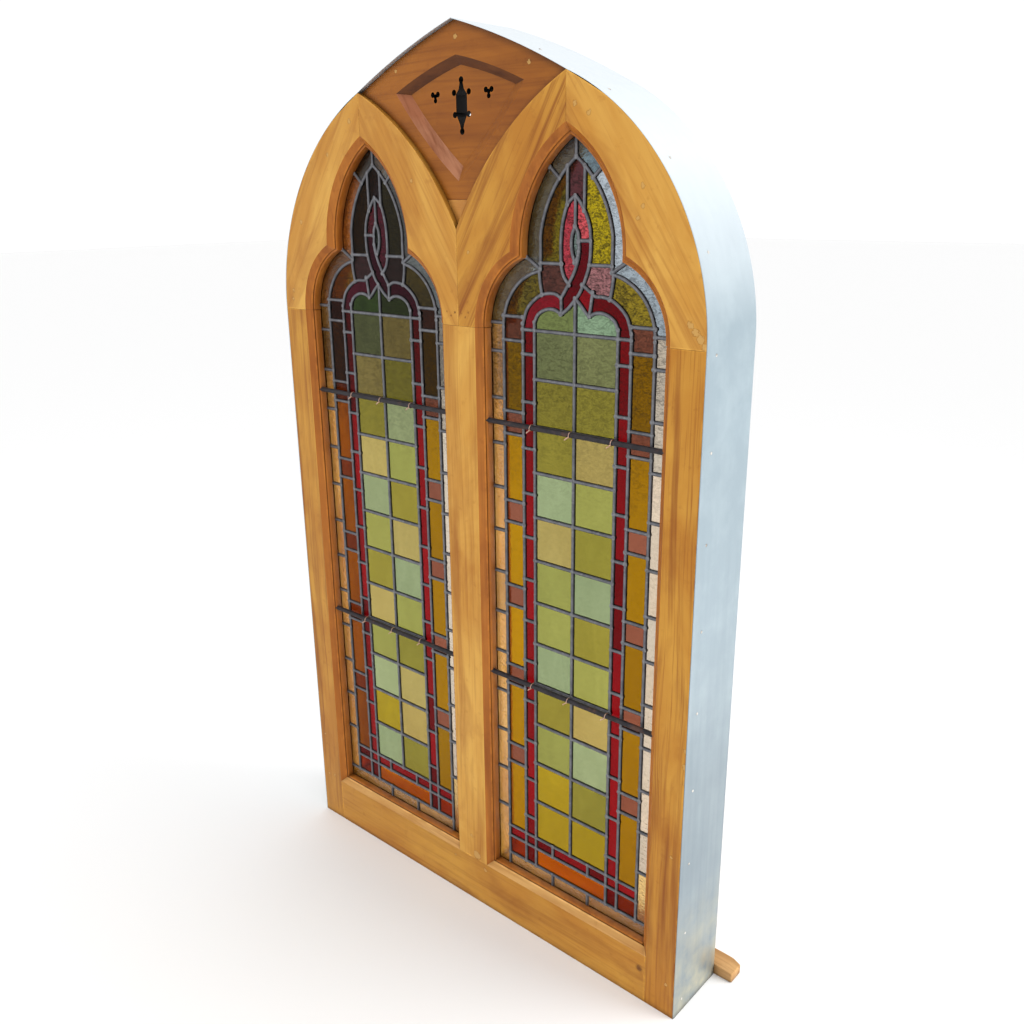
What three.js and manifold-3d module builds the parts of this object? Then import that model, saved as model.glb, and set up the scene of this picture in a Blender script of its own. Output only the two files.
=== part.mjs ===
// Stained glass window: two trefoil-headed lancet lights of leaded glass in a softwood frame,
// edged with thin sheet metal, standing on its bottom rail and on a batten laid behind it.
// Millimetres, +X to the right, +Z up, front at -Y.
import * as THREE from "three";
import { mergeVertices } from "three/addons/utils/BufferGeometryUtils.js";
import Module from "manifold-3d";

const wasm = await Module();
wasm.setup();

// Driving dimensions.
const HALF_WIDTH = 500;
const SPRING_Z = 1220; // where the straight sides end and the heads begin
const APEX_Z = 1712;
const GAP = 0.3; // clearance kept between neighbouring pieces

// Depths are counted from the front faces, which lie at FRONT_Y.
const FRONT_Y = -93;
const WOOD_DEPTH = 95;
const BAND_DEPTH = 145;
const BAND_SHEET = 1.2;
const BATTEN_DEPTH = 40.7;
const BATTEN_HEIGHT = 23;
const BATTEN_OVERHANG = 38;

// Frame members, as half widths and heights of their front faces.
const JAMB_FACE_X = 437;
const MULLION_FACE_X = 39;
const MULLION_FULL_DEPTH = 55;
const MULLION_BACK_X = 30;
const RAIL_FACE_Z = 103;
const LIGHT_X = (JAMB_FACE_X + MULLION_FACE_X) / 2;
const WOOD_SIDES = { lobe: 32, arch: 44 };
const PANEL_SIDES = { lobe: 20, arch: 28 };
const CONCAVE_SIDES = 72;

// The moulding round each light, as distances out from the sight line of the glass and depths.
const FACE_OUT = 15;
const CHAMFER_OUT = 4;
const CHAMFER_DEPTH = 11;
const GROOVE_OUT = 14;
const GROOVE_BACK = 31;
const BEAD_NOSE_OUT = 2;
const BEAD_NOSE_DEPTH = 15;
const BEAD_BACK = 24.6;
const LEAD_FRONT = 24.9;
const LEAD_BACK = 27.1;
const GLASS_FRONT = 27.4;
const GLASS_BACK = 30.4;
const PANEL_OUT = 8;

// Half width and foot of the glass that shows in a light, and the trefoil head over it.
const SIGHT_HALF = (JAMB_FACE_X - MULLION_FACE_X) / 2 - FACE_OUT;
const SIGHT_Z = RAIL_FACE_Z + FACE_OUT;
const SIGHT_HEAD = { lobeX: 59, lobeZ: 1222, lobeR: SIGHT_HALF - 59, archX: 104, archZ: 1350, archR: 205 };
const INNER_HEAD = { lobeX: 57, lobeZ: 1222, lobeR: 98.5, archX: 104, archZ: 1350, archR: 178 };

// Outer outline: a lancet arc over each side, then a shallow arc up to the apex.
const HEAD_ARC_X = 68;
const HEAD_ARC_R = HALF_WIDTH - HEAD_ARC_X;
const SHOULDER_X = 240;
const SHOULDER_Z = SPRING_Z + Math.sqrt(HEAD_ARC_R ** 2 - (SHOULDER_X - HEAD_ARC_X) ** 2);
const TOP_ARC_R = 1400;
const INNER_HEAD_ARC = { x: 468, z: 1143, r: 526 }; // the upper edge of an inner head piece

// Tympanum.
const TYMPANUM_FRONT = 10;
const TYMPANUM_BACK = 62;
const TIP_Z = 1432;
const KITE = { halfWidth: 147, waistZ: 1609, topZ: 1658, footZ: 1462, bow: 4 };
const KITE_FIELD_DEPTH = 21.5;
const KITE_FIELD_SCALE = 0.79;
const KITE_CENTRE_Z = 1591;

// Saddle bars, round and in front of the glass.
const BAR_RADIUS = 4.9;
const BAR_DEPTH = 17;
const BAR_HEIGHTS = { upper: 1055, lower: 555 };
const BAR_HOUSING = 8; // how far a bar's end runs into its hole in the wood and bead

// Leads, as distances from a light's axis and heights.
const LEAD_WIDTH = 6.4;
const LEAD_C = 86;
const LEAD_B = 111.5;
const LEAD_A = 155.5;
const FOOT_Z = 144;
const FOOT_RUBY_Z = 185.5;
const FOOT_CROSS_X = 43;
const ROW_ONE_Z = 1221;
const UPPER_PITCH = 83;
const LOWER_PITCH = 86.75;
const UPPER_ROWS = 9;
const ROWS = 13;
const ROSE_HALF = 20.5;
const CLEAR_TOP_Z = 1229;
const CLEAR_RUN_IN = 4; // how far a lead that meets the wood runs in under the bead
// Where the lobes' leads stop, and where the inner arch's lead begins to turn.
const INNER_CUSP = { x: 74, z: 1376 };
const HEAD_BASE_Z = 1256;
const QUARRY_TOP_Z = 1240;

// A closed mesh as a manifold-3d solid.
function solid(geometry) {
  const bare = geometry.clone();
  bare.deleteAttribute("normal");
  bare.deleteAttribute("uv");
  const merged = mergeVertices(bare, 1e-4);
  return new wasm.Manifold(
    new wasm.Mesh({
      numProp: 3,
      vertProperties: merged.attributes.position.array,
      triVerts: new Uint32Array(merged.index.array),
    }),
  );
}

// A solid as a named mesh of the window.
const root = new THREE.Group();

function piece(name, made, material) {
  const mesh = made.getMesh();
  const geometry = new THREE.BufferGeometry();
  geometry.setAttribute("position", new THREE.BufferAttribute(new Float32Array(mesh.vertProperties), 3));
  geometry.setIndex(new THREE.BufferAttribute(new Uint32Array(mesh.triVerts), 1));
  geometry.computeVertexNormals();
  const named = new THREE.Mesh(geometry, material);
  named.name = name;
  root.add(named);
}

const joined = (solids) => solids.reduce((all, next) => all.add(next));
const points = (pairs) => pairs.map(([a, b]) => new THREE.Vector2(a, b));
const mirrorX = (made) => made.mirror([1, 0, 0]);

// A slab of an outline in X and Z, between two depths.
function slab(outline, near, far) {
  const shape = new THREE.Shape(outline);
  const geometry = new THREE.ExtrudeGeometry(shape, { depth: far - near, bevelEnabled: false });
  geometry.rotateX(Math.PI / 2);
  geometry.translate(0, FRONT_Y + far, 0);
  return solid(geometry);
}

const rectangle = (x0, x1, z0, z1) => points([[x0, z0], [x1, z0], [x1, z1], [x0, z1]]);
const plate = (x0, x1, z0, z1, near, far) => slab(rectangle(x0, x1, z0, z1), near, far);

// A disc round (x, z) whose radius changes from one depth to the other.
function disc(x, z, nearR, farR, near, far, sides) {
  const geometry = new THREE.CylinderGeometry(farR, nearR, far - near, sides);
  geometry.translate(x, FRONT_Y + (near + far) / 2, z);
  return solid(geometry);
}

// A post with a section in X and depth, between two heights.
function post(section, z0, z1) {
  const outline = section.map(([x, depth]) => new THREE.Vector2(x, FRONT_Y + depth));
  const shape = new THREE.Shape(outline);
  const geometry = new THREE.ExtrudeGeometry(shape, { depth: z1 - z0, bevelEnabled: false });
  geometry.translate(0, 0, z0);
  return solid(geometry);
}

// A beam with a section in depth and height, between two places across the window.
function beam(section, x0, x1) {
  const outline = section.map(([depth, z]) => new THREE.Vector2(FRONT_Y + depth, z));
  const shape = new THREE.Shape(outline);
  const geometry = new THREE.ExtrudeGeometry(shape, { depth: x1 - x0, bevelEnabled: false });
  const along = new THREE.Matrix4().makeBasis(
    new THREE.Vector3(0, 1, 0),
    new THREE.Vector3(0, 0, 1),
    new THREE.Vector3(1, 0, 0),
  );
  geometry.applyMatrix4(along);
  geometry.translate(x0, 0, 0);
  return solid(geometry);
}

// Points along an arc from one angle to another, in radians.
function arcPoints(x, z, r, from, to, steps) {
  const made = [];
  for (let i = 0; i <= steps; i++) {
    const angle = from + ((to - from) * i) / steps;
    made.push(new THREE.Vector2(x + r * Math.cos(angle), z + r * Math.sin(angle)));
  }
  return made;
}

// The trefoil head over a light: two round lobes at the springing and a pointed arch, grown by
// one distance at its near face and by another at its far face. The arch's two discs also reach
// below the springing, inside the light.
function trefoil(axisX, head, nearOut, farOut, near, far, sides = WOOD_SIDES) {
  const round = (x, z, r, count) => disc(x, z, r + nearOut, r + farOut, near, far, count);
  const lobe = (side) => round(axisX + side * head.lobeX, head.lobeZ, head.lobeR, sides.lobe);
  const arch = (side) => round(axisX + side * head.archX, head.archZ, head.archR, sides.arch);
  return joined([lobe(-1), lobe(1), arch(-1).intersect(arch(1))]);
}

// The right half of the outer outline, moved in by a distance.
function rightOutline(inset) {
  const dx = SHOULDER_X / 2;
  const dz = (APEX_Z - SHOULDER_Z) / 2;
  const halfChord = Math.hypot(dx, dz);
  const toCentre = Math.sqrt(TOP_ARC_R ** 2 - halfChord ** 2);
  const topX = dx - (toCentre * dz) / halfChord;
  const topZ = SHOULDER_Z + dz - (toCentre * dx) / halfChord;
  const sideEnd = Math.atan2(SHOULDER_Z - SPRING_Z, SHOULDER_X - HEAD_ARC_X);
  const topStart = Math.atan2(SHOULDER_Z - topZ, SHOULDER_X - topX);
  const topEnd = Math.acos(-topX / (TOP_ARC_R - inset));
  return [
    new THREE.Vector2(HALF_WIDTH - inset, 0),
    ...arcPoints(HEAD_ARC_X, SPRING_Z, HEAD_ARC_R - inset, 0, sideEnd, 14),
    ...arcPoints(topX, topZ, TOP_ARC_R - inset, topStart, topEnd, 4),
  ];
}

// Materials.
const finish = (color, roughness, metalness) =>
  new THREE.MeshStandardMaterial({ color, roughness, metalness });
const pine = finish(0xc08a45, 0.45, 0);
const paleTip = finish(0xd0a565, 0.5, 0);
const sheetMetal = finish(0xbccbd2, 0.4, 0.9);
const lead = finish(0x6e6c70, 0.6, 0.7);
const iron = finish(0x3c3a40, 0.5, 0.8);
const clearGlass = finish(0xd8dedb, 0.1, 0);
const amberGlass = finish(0x91690f, 0.15, 0);
const rubyGlass = finish(0x82141e, 0.15, 0);
const paleGlass = finish(0x9bac80, 0.15, 0);
const headGlass = finish(0x322a28, 0.15, 0);

const woodOutline = rightOutline(BAND_SHEET + GAP);
const WOOD_X = HALF_WIDTH - BAND_SHEET - GAP;

// The right half of everything inside the band, from one height up, at full depth.
const rightHalf = slab([...woodOutline, new THREE.Vector2(0, 0)], 0, WOOD_DEPTH);

// Jambs: chamfered, grooved for the glass, square behind it.
function sideSection(face, outward, back) {
  return [
    [face, 0],
    [face - outward * (FACE_OUT - CHAMFER_OUT), CHAMFER_DEPTH],
    [face - outward * (FACE_OUT - GROOVE_OUT), CHAMFER_DEPTH],
    [face - outward * (FACE_OUT - GROOVE_OUT), GROOVE_BACK],
    [face - outward * FACE_OUT, GROOVE_BACK],
    [face - outward * FACE_OUT, back],
  ];
}

const jambSection = [[WOOD_X, 0], ...sideSection(JAMB_FACE_X, 1, WOOD_DEPTH), [WOOD_X, WOOD_DEPTH]];
const rightJamb = post(jambSection.reverse(), 0, SPRING_Z - GAP / 2);
piece("right_jamb", rightJamb, pine);
piece("left_jamb", mirrorX(rightJamb), pine);

// Bottom rail: the same moulding turned up, its ends scribed to the jambs.
const railBack = RAIL_FACE_Z + FACE_OUT;
const railSection = [
  [0, 0],
  [0, RAIL_FACE_Z],
  [CHAMFER_DEPTH, RAIL_FACE_Z + FACE_OUT - CHAMFER_OUT],
  [CHAMFER_DEPTH, RAIL_FACE_Z + FACE_OUT - GROOVE_OUT],
  [GROOVE_BACK, RAIL_FACE_Z + FACE_OUT - GROOVE_OUT],
  [GROOVE_BACK, railBack],
  [WOOD_DEPTH, railBack],
  [WOOD_DEPTH, 0],
];
const jambEdge = JAMB_FACE_X - GAP;
const jambEnvelope = [
  [WOOD_X, -1],
  [WOOD_X, WOOD_DEPTH + 1],
  [jambEdge - FACE_OUT, WOOD_DEPTH + 1],
  [jambEdge - FACE_OUT, CHAMFER_DEPTH - GAP],
  [jambEdge - FACE_OUT + CHAMFER_OUT, CHAMFER_DEPTH - GAP],
  [jambEdge, -GAP],
  [jambEdge, -1],
];
const jambSpace = post(jambEnvelope, -1, SPRING_Z);
const rail = beam(railSection.reverse(), -WOOD_X + 1, WOOD_X - 1)
  .subtract(jambSpace)
  .subtract(mirrorX(jambSpace));
piece("bottom_rail", rail, pine);

// Mullion: both edges moulded, splayed behind, its foot scribed over the rail.
const mullionRight = sideSection(MULLION_FACE_X, -1, MULLION_FULL_DEPTH);
const mullionLeft = mullionRight.map(([x, depth]) => [-x, depth]).reverse();
const mullionSection = [
  ...mullionLeft,
  ...mullionRight,
  [MULLION_BACK_X, WOOD_DEPTH],
  [-MULLION_BACK_X, WOOD_DEPTH],
];
const railEnvelope = [
  [-1, 0],
  [-1, RAIL_FACE_Z + GAP],
  [0, RAIL_FACE_Z + GAP],
  [CHAMFER_DEPTH, RAIL_FACE_Z + FACE_OUT - CHAMFER_OUT + GAP],
  [CHAMFER_DEPTH, railBack + GAP],
  [WOOD_DEPTH + 1, railBack + GAP],
  [WOOD_DEPTH + 1, 0],
];
const mullion = post(mullionSection, RAIL_FACE_Z, SPRING_Z - GAP / 2);
piece("mullion", mullion.subtract(beam(railEnvelope.reverse(), -WOOD_X, WOOD_X)), pine);

// Everything the head pieces leave open round the right light: chamfer, groove, and the way
// through behind it.
const headSpace = joined([
  trefoil(LIGHT_X, SIGHT_HEAD, FACE_OUT + 1, CHAMFER_OUT, -1, CHAMFER_DEPTH),
  trefoil(LIGHT_X, SIGHT_HEAD, GROOVE_OUT, GROOVE_OUT, CHAMFER_DEPTH - 0.01, GROOVE_BACK),
  trefoil(LIGHT_X, SIGHT_HEAD, 0, 0, GROOVE_BACK - 0.01, WOOD_DEPTH + 1),
]);

// Outer head: from the springing to the lancet's point, inside the band.
const outerField = plate(LIGHT_X + GAP / 2, WOOD_X, SPRING_Z + GAP / 2, APEX_Z, 0, WOOD_DEPTH);
const outerHead = rightHalf.intersect(outerField).subtract(headSpace);
piece("right_head_outer", outerHead, pine);
piece("left_head_outer", mirrorX(outerHead), pine);

// Inner head: from the mullion to the lancet's point, under a concave run of the tympanum.
const { x: archX, z: archZ, r: archR } = INNER_HEAD_ARC;
const innerField = plate(GAP / 2, LIGHT_X - GAP / 2, SPRING_Z + GAP / 2, APEX_Z, 0, WOOD_DEPTH);
const underArc = disc(archX, archZ, archR, archR, 0, WOOD_DEPTH, CONCAVE_SIDES);
const innerHead = rightHalf.intersect(innerField).intersect(underArc).subtract(headSpace);
piece("right_head_inner", innerHead, pine);
piece("left_head_inner", mirrorX(innerHead), pine);

// Tympanum: a board set back between the inner heads, with a sunk kite and three piercings.
const arcSpace = disc(archX, archZ, archR + GAP, archR + GAP, 0, WOOD_DEPTH, CONCAVE_SIDES);
const outerBlock = plate(LIGHT_X - GAP, WOOD_X, 0, APEX_Z, 0, WOOD_DEPTH);
const rightInfill = rightHalf.subtract(arcSpace).subtract(outerBlock);
const infill = rightInfill.add(mirrorX(rightInfill));
const board = plate(-LIGHT_X, LIGHT_X, TIP_Z + GAP / 2, APEX_Z, TYMPANUM_FRONT, TYMPANUM_BACK);
const tip = plate(-LIGHT_X, LIGHT_X, SPRING_Z, TIP_Z - GAP / 2, TYMPANUM_FRONT, TYMPANUM_BACK);

// The kite's outline, its four sides bowed outwards, shrunk about its centre.
function kiteOutline(scale) {
  const corners = points([
    [0, KITE.footZ],
    [KITE.halfWidth, KITE.waistZ],
    [0, KITE.topZ],
    [-KITE.halfWidth, KITE.waistZ],
  ]);
  const outline = [];
  corners.forEach((corner, i) => {
    const next = corners[(i + 1) % corners.length];
    const side = next.clone().sub(corner);
    const outward = new THREE.Vector2(side.y, -side.x).normalize();
    for (const share of [0, 0.25, 0.5, 0.75]) {
      const out = KITE.bow * 4 * share * (1 - share);
      outline.push(corner.clone().addScaledVector(side, share).addScaledVector(outward, out));
    }
  });
  return outline.map(({ x, y }) => new THREE.Vector2(x * scale, KITE_CENTRE_Z + (y - KITE_CENTRE_Z) * scale));
}

// The sunk kite: an extruded outline whose far end is drawn in to the field.
function sunkKite() {
  const overcut = 1;
  const depth = KITE_FIELD_DEPTH - TYMPANUM_FRONT;
  const slope = (1 - KITE_FIELD_SCALE) / depth;
  const nearScale = 1 + slope * overcut;
  const shape = new THREE.Shape(kiteOutline(nearScale));
  const geometry = new THREE.ExtrudeGeometry(shape, { depth: depth + overcut, bevelEnabled: false });
  const position = geometry.attributes.position;
  for (let i = 0; i < position.count; i++) {
    const sunk = depth + overcut - position.getZ(i);
    const scale = (1 - slope * (sunk - overcut)) / nearScale;
    position.setX(i, position.getX(i) * scale);
    position.setY(i, KITE_CENTRE_Z + (position.getY(i) - KITE_CENTRE_Z) * scale);
  }
  geometry.rotateX(Math.PI / 2);
  geometry.translate(0, FRONT_Y + KITE_FIELD_DEPTH, 0);
  return solid(geometry);
}

// The central piercing: a cross-like figure of small round lobes on a tapering body.
const PIERCING_BODY = [
  [0, 1545], [6, 1552], [12.8, 1571], [12.8, 1597], [7, 1606], [4, 1615],
  [-4, 1615], [-7, 1606], [-12.8, 1597], [-12.8, 1571], [-6, 1552],
];
const PIERCING_LOBES = [
  [0, 1621, 5.3], [0, 1541, 5.3], [17, 1602, 5], [-17, 1602, 5], [16, 1567.5, 5], [-16, 1567.5, 5],
];
const TREFOIL_PIERCING = { x: 61.5, z: 1601, side: 6, drop: 7, r: 4.6 };

function piercings() {
  const near = TYMPANUM_FRONT;
  const far = TYMPANUM_BACK + 1;
  const hole = (x, z, r) => disc(x, z, r, r, near, far, 8);
  const { x, z, side, drop, r } = TREFOIL_PIERCING;
  const trefoils = [-1, 1].flatMap((hand) => [
    hole(hand * x - side, z, r),
    hole(hand * x + side, z, r),
    hole(hand * x, z - drop, r),
    hole(hand * x, z, r),
  ]);
  const body = slab(points(PIERCING_BODY), near, far);
  return joined([body, ...PIERCING_LOBES.map(([a, b, c]) => hole(a, b, c)), ...trefoils]);
}

const tympanumSpace = sunkKite().add(piercings());
piece("tympanum_panel", infill.intersect(board).subtract(tympanumSpace), pine);
piece("tympanum_tip", infill.intersect(tip), paleTip);

// Metal strips round the outer edge, from the floor to the fold at the apex.
const sheetOuter = rightOutline(0);
const sheetInner = rightOutline(BAND_SHEET);
const sheetOutline = [...sheetOuter, ...sheetInner.reverse()];
const foldSpace = plate(-1, GAP / 2, SPRING_Z, APEX_Z + 1, -1, BAND_DEPTH + 1);
const rightBand = slab(sheetOutline, 0, BAND_DEPTH).subtract(foldSpace);
piece("right_band", rightBand, sheetMetal);
piece("left_band", mirrorX(rightBand), sheetMetal);

// Batten on the floor behind the frame.
const battenFront = BAND_DEPTH + GAP;
const battenX = HALF_WIDTH + BATTEN_OVERHANG;
piece(
  "foot_batten",
  plate(-battenX, battenX, 0, BATTEN_HEIGHT, battenFront, battenFront + BATTEN_DEPTH),
  pine,
);

// Saddle bar of the right light, its ends housed in the beads and the wood.
const barBetween = (z, radius) => {
  const length = 2 * (SIGHT_HALF + BAR_HOUSING);
  const geometry = new THREE.CylinderGeometry(radius, radius, length, 10);
  geometry.rotateZ(Math.PI / 2);
  geometry.translate(LIGHT_X, FRONT_Y + BAR_DEPTH, z);
  return solid(geometry);
};
const barSpace = joined(Object.values(BAR_HEIGHTS).map((z) => barBetween(z, BAR_RADIUS + GAP)));

for (const [level, z] of Object.entries(BAR_HEIGHTS)) {
  const bar = barBetween(z, BAR_RADIUS);
  piece(`right_saddle_bar_${level}`, bar, iron);
  piece(`left_saddle_bar_${level}`, mirrorX(bar), iron);
}

// Glazing beads of the right light: a flat front, an eased nose, and a straight return to the glass.
const beadOut = GROOVE_OUT - GAP;
const beadFront = CHAMFER_DEPTH + GAP;
const beadSection = [
  [BEAD_NOSE_OUT, beadFront],
  [0, BEAD_NOSE_DEPTH],
  [0, BEAD_BACK],
  [beadOut, BEAD_BACK],
  [beadOut, beadFront],
];
const beadSide = (side) => {
  const section = beadSection.map(([out, depth]) => [LIGHT_X + side * (SIGHT_HALF + out), depth]);
  const turned = side > 0 ? section.reverse() : section;
  return post(turned, SIGHT_Z - beadOut, SPRING_Z - GAP / 2).subtract(barSpace);
};
const sillSection = beadSection.map(([out, depth]) => [depth, SIGHT_Z - out]);
const sillEnd = SIGHT_HALF - GAP;
const headBead = trefoil(LIGHT_X, SIGHT_HEAD, beadOut, beadOut, beadFront, BEAD_BACK)
  .subtract(trefoil(LIGHT_X, SIGHT_HEAD, BEAD_NOSE_OUT, 0, beadFront, BEAD_NOSE_DEPTH))
  .subtract(trefoil(LIGHT_X, SIGHT_HEAD, 0, 0, BEAD_NOSE_DEPTH - 0.01, BEAD_BACK));
const halfOf = (side) => {
  const near = LIGHT_X + (side * GAP) / 2;
  const far = LIGHT_X + side * HALF_WIDTH;
  return plate(Math.min(near, far), Math.max(near, far), SPRING_Z + GAP / 2, APEX_Z, 0, WOOD_DEPTH);
};
const beads = {
  bead_outer: beadSide(1),
  bead_inner: beadSide(-1),
  bead_sill: beam(sillSection, LIGHT_X - sillEnd, LIGHT_X + sillEnd),
  bead_head_outer: headBead.intersect(halfOf(1)),
  bead_head_inner: headBead.intersect(halfOf(-1)),
};
for (const [name, made] of Object.entries(beads)) {
  piece(`right_${name}`, made, pine);
  piece(`left_${name}`, mirrorX(made), pine);
}

// Leads of one light, drawn about its axis, without the short cross leads of the clear border.
// Each is a strip along a smooth line.
function leadStrip(line, width) {
  const curve = new THREE.SplineCurve(points(line));
  const steps = line.length > 2 ? line.length : 1;
  const left = [];
  const right = [];
  for (let i = 0; i <= steps; i++) {
    const at = curve.getPoint(i / steps);
    const along = curve.getTangent(i / steps);
    const across = new THREE.Vector2(-along.y, along.x).multiplyScalar(width / 2);
    left.push(at.clone().add(across));
    right.push(at.clone().sub(across));
  }
  return slab([...right, ...left.reverse()], LEAD_FRONT, LEAD_BACK);
}

const rowZ = (row) =>
  row <= UPPER_ROWS
    ? ROW_ONE_Z - (row - 1) * UPPER_PITCH
    : ROW_ONE_Z - (UPPER_ROWS - 1) * UPPER_PITCH - (row - UPPER_ROWS) * LOWER_PITCH;
const betweenRows = (row) => (rowZ(row) + rowZ(row + 1)) / 2;
const rowNumbers = [...Array(ROWS).keys()].map((i) => i + 1);

function straightLeads() {
  const lines = [
    [[0, FOOT_Z], [0, 1278]],
    [[-LEAD_A, SIGHT_Z - CLEAR_RUN_IN], [-LEAD_A, SPRING_Z + 2]],
    [[LEAD_A, FOOT_Z - LEAD_WIDTH / 2], [LEAD_A, SPRING_Z + 2]],
    [[-LEAD_A, FOOT_Z], [SIGHT_HALF + CLEAR_RUN_IN, FOOT_Z]],
    [[-LEAD_B, FOOT_RUBY_Z], [LEAD_B, FOOT_RUBY_Z]],
  ];
  for (const row of rowNumbers) lines.push([[-LEAD_C, rowZ(row)], [LEAD_C, rowZ(row)]]);
  for (const side of [-1, 1]) {
    lines.push([[side * LEAD_C, FOOT_Z], [side * LEAD_C, 1236]]);
    lines.push([[side * LEAD_B, FOOT_Z], [side * LEAD_B, 1232]]);
    lines.push([[side * FOOT_CROSS_X, FOOT_RUBY_Z], [side * FOOT_CROSS_X, rowZ(ROWS)]]);
    lines.push([[side * LEAD_B, ROW_ONE_Z], [side * LEAD_C, ROW_ONE_Z]]);
    lines.push([[side * LEAD_A, CLEAR_TOP_Z], [side * (SIGHT_HALF + 4), CLEAR_TOP_Z]]);
    for (const row of rowNumbers.slice(0, -1)) {
      const z = betweenRows(row);
      lines.push([[side * LEAD_B, z], [side * LEAD_C, z]]);
      if (row % 2 === 0) continue;
      for (const step of [-1, 1]) {
        const edge = rowZ(row) + step * ROSE_HALF;
        lines.push([[side * LEAD_B, edge], [side * LEAD_A, edge]]);
      }
    }
  }
  return lines;
}

// The leads of the head that are the same on both sides of the axis.
const HEAD_PAIRS = [
  [[86, 1234], [79, 1247], [67, 1255], [41, 1257.5], [29, 1252]],
  [[72, 1320], [72, 1378]],
  [[54, 1484], [35, 1466]],
  [[103, 1341], [71, 1322]],
  [[17, 1482], [17, 1422]],
  [[72, 1332], [28, 1332]],
  [[75, 1320], [69, 1281]],
];

// The leads of the head that cross over: the ruby loop and the strand that passes over it.
const HEAD_CROSSING = [
  [[0, 1492], [0, 1532]],
  [[-110, 1230], [-104, 1252], [-81, 1275], [-54, 1284], [-29, 1278]],
  [[110, 1230], [104, 1252], [81, 1275], [54, 1284], [31, 1288], [17, 1299]],
  [[-1, 1438], [-18, 1422], [-29, 1380], [-28, 1325], [-14, 1301]],
  [[-1, 1438], [12, 1422], [28.5, 1385], [27, 1330], [8.5, 1287], [-28, 1252]],
  [[6, 1369], [7, 1355], [-1.5, 1322], [-16, 1297], [-29, 1278]],
  [[-1, 1390], [-8.5, 1364], [-1, 1335]],
  [[-1, 1390], [6.5, 1364], [-1, 1335]],
  [[-1, 1438], [-1, 1388]],
  [[29, 1252], [12, 1268], [0, 1279]],
  [[-29, 1278], [-29, 1252]],
  [[34, 1288], [29, 1252]],
];

function leadArcs() {
  const { lobeX, lobeZ, lobeR, archX: farX, archZ: riseZ, archR: riseR } = INNER_HEAD;
  const half = LEAD_WIDTH / 2;
  const ring = (x, z, r, from, to, steps) =>
    slab(
      [...arcPoints(x, z, r + half, from, to, steps), ...arcPoints(x, z, r - half, to, from, steps)],
      LEAD_FRONT,
      LEAD_BACK,
    );
  const lobeTurn = Math.acos((INNER_CUSP.x - lobeX) / lobeR);
  const archStart = Math.asin((INNER_CUSP.z - riseZ) / riseR);
  const archEnd = Math.acos(farX / riseR) + 0.01;
  return joined([
    ring(lobeX, lobeZ, lobeR, 0, lobeTurn, 7),
    ring(-lobeX, lobeZ, lobeR, Math.PI - lobeTurn, Math.PI, 7),
    ring(-farX, riseZ, riseR, archStart, archEnd, 5),
    ring(farX, riseZ, riseR, Math.PI - archEnd, Math.PI - archStart, 5),
  ]);
}

// A region of the glass panel of the light on the axis, between two depths.
function panelRegion(head, half, foot, out, near, far) {
  return trefoil(0, head, out, out, near, far, PANEL_SIDES).add(
    plate(-half - out, half + out, foot - out, SPRING_Z + 2, near, far),
  );
}

function leadNetwork() {
  const strips = straightLeads().map((line) => leadStrip(line, LEAD_WIDTH));
  for (const line of HEAD_PAIRS) {
    strips.push(leadStrip(line, LEAD_WIDTH));
    strips.push(leadStrip(line.map(([x, z]) => [-x, z]).reverse(), LEAD_WIDTH));
  }
  for (const line of HEAD_CROSSING) strips.push(leadStrip(line, LEAD_WIDTH - 1));
  const whole = panelRegion(SIGHT_HEAD, SIGHT_HALF, SIGHT_Z, PANEL_OUT, LEAD_FRONT, LEAD_BACK);
  const inside = panelRegion(SIGHT_HEAD, SIGHT_HALF, SIGHT_Z, 2, LEAD_FRONT - 1, LEAD_BACK + 1);
  return joined([...strips, leadArcs(), whole.subtract(inside)]).intersect(whole);
}

const atLight = (made) => made.translate([LIGHT_X, 0, 0]);
const leads = atLight(leadNetwork());
piece("right_lead_cames", leads, lead);
piece("left_lead_cames", mirrorX(leads), lead);

// Glass by kind, each kind of a light as one sheet with the leads' gaps left between kinds.
const insideA = (out) => panelRegion(INNER_HEAD, LEAD_A, FOOT_Z, out, GLASS_FRONT, GLASS_BACK);
const glassBlock = (x0, x1, z0, z1) => plate(x0, x1, z0, z1, GLASS_FRONT, GLASS_BACK);
const glassPanel = panelRegion(SIGHT_HEAD, SIGHT_HALF, SIGHT_Z, PANEL_OUT, GLASS_FRONT, GLASS_BACK);
const insideB = glassBlock(-LEAD_B, LEAD_B, FOOT_RUBY_Z, HEAD_BASE_Z);
const insideC = glassBlock(-LEAD_C, LEAD_C, rowZ(ROWS), QUARRY_TOP_Z);
const spaceB = glassBlock(-LEAD_B - GAP, LEAD_B + GAP, FOOT_RUBY_Z - GAP, APEX_Z);
const spaceC = glassBlock(-LEAD_C - GAP, LEAD_C + GAP, rowZ(ROWS) - GAP, QUARRY_TOP_Z + GAP);
const aboveBase = glassBlock(-HALF_WIDTH, HALF_WIDTH, HEAD_BASE_Z + GAP, APEX_Z);
const belowBase = glassBlock(-HALF_WIDTH, HALF_WIDTH, 0, HEAD_BASE_Z);
const kinds = {
  clear_border: [glassPanel.subtract(insideA(GAP)), clearGlass],
  amber_border: [insideA(0).intersect(belowBase).subtract(spaceB), amberGlass],
  ruby_border: [insideB.subtract(spaceC), rubyGlass],
  quarries: [insideC, paleGlass],
  head_glass: [insideA(0).intersect(aboveBase), headGlass],
};
for (const [name, [made, material]] of Object.entries(kinds)) {
  const placed = atLight(made);
  piece(`right_${name}`, placed, material);
  piece(`left_${name}`, mirrorX(placed), material);
}

export default root;
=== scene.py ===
# Stained glass window: looks for two trefoil-headed lancet lights of leaded glass in a honey-stained pine
# frame, edged with thin sheet metal and standing on its rail and on a batten behind it.
import math
import random

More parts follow.
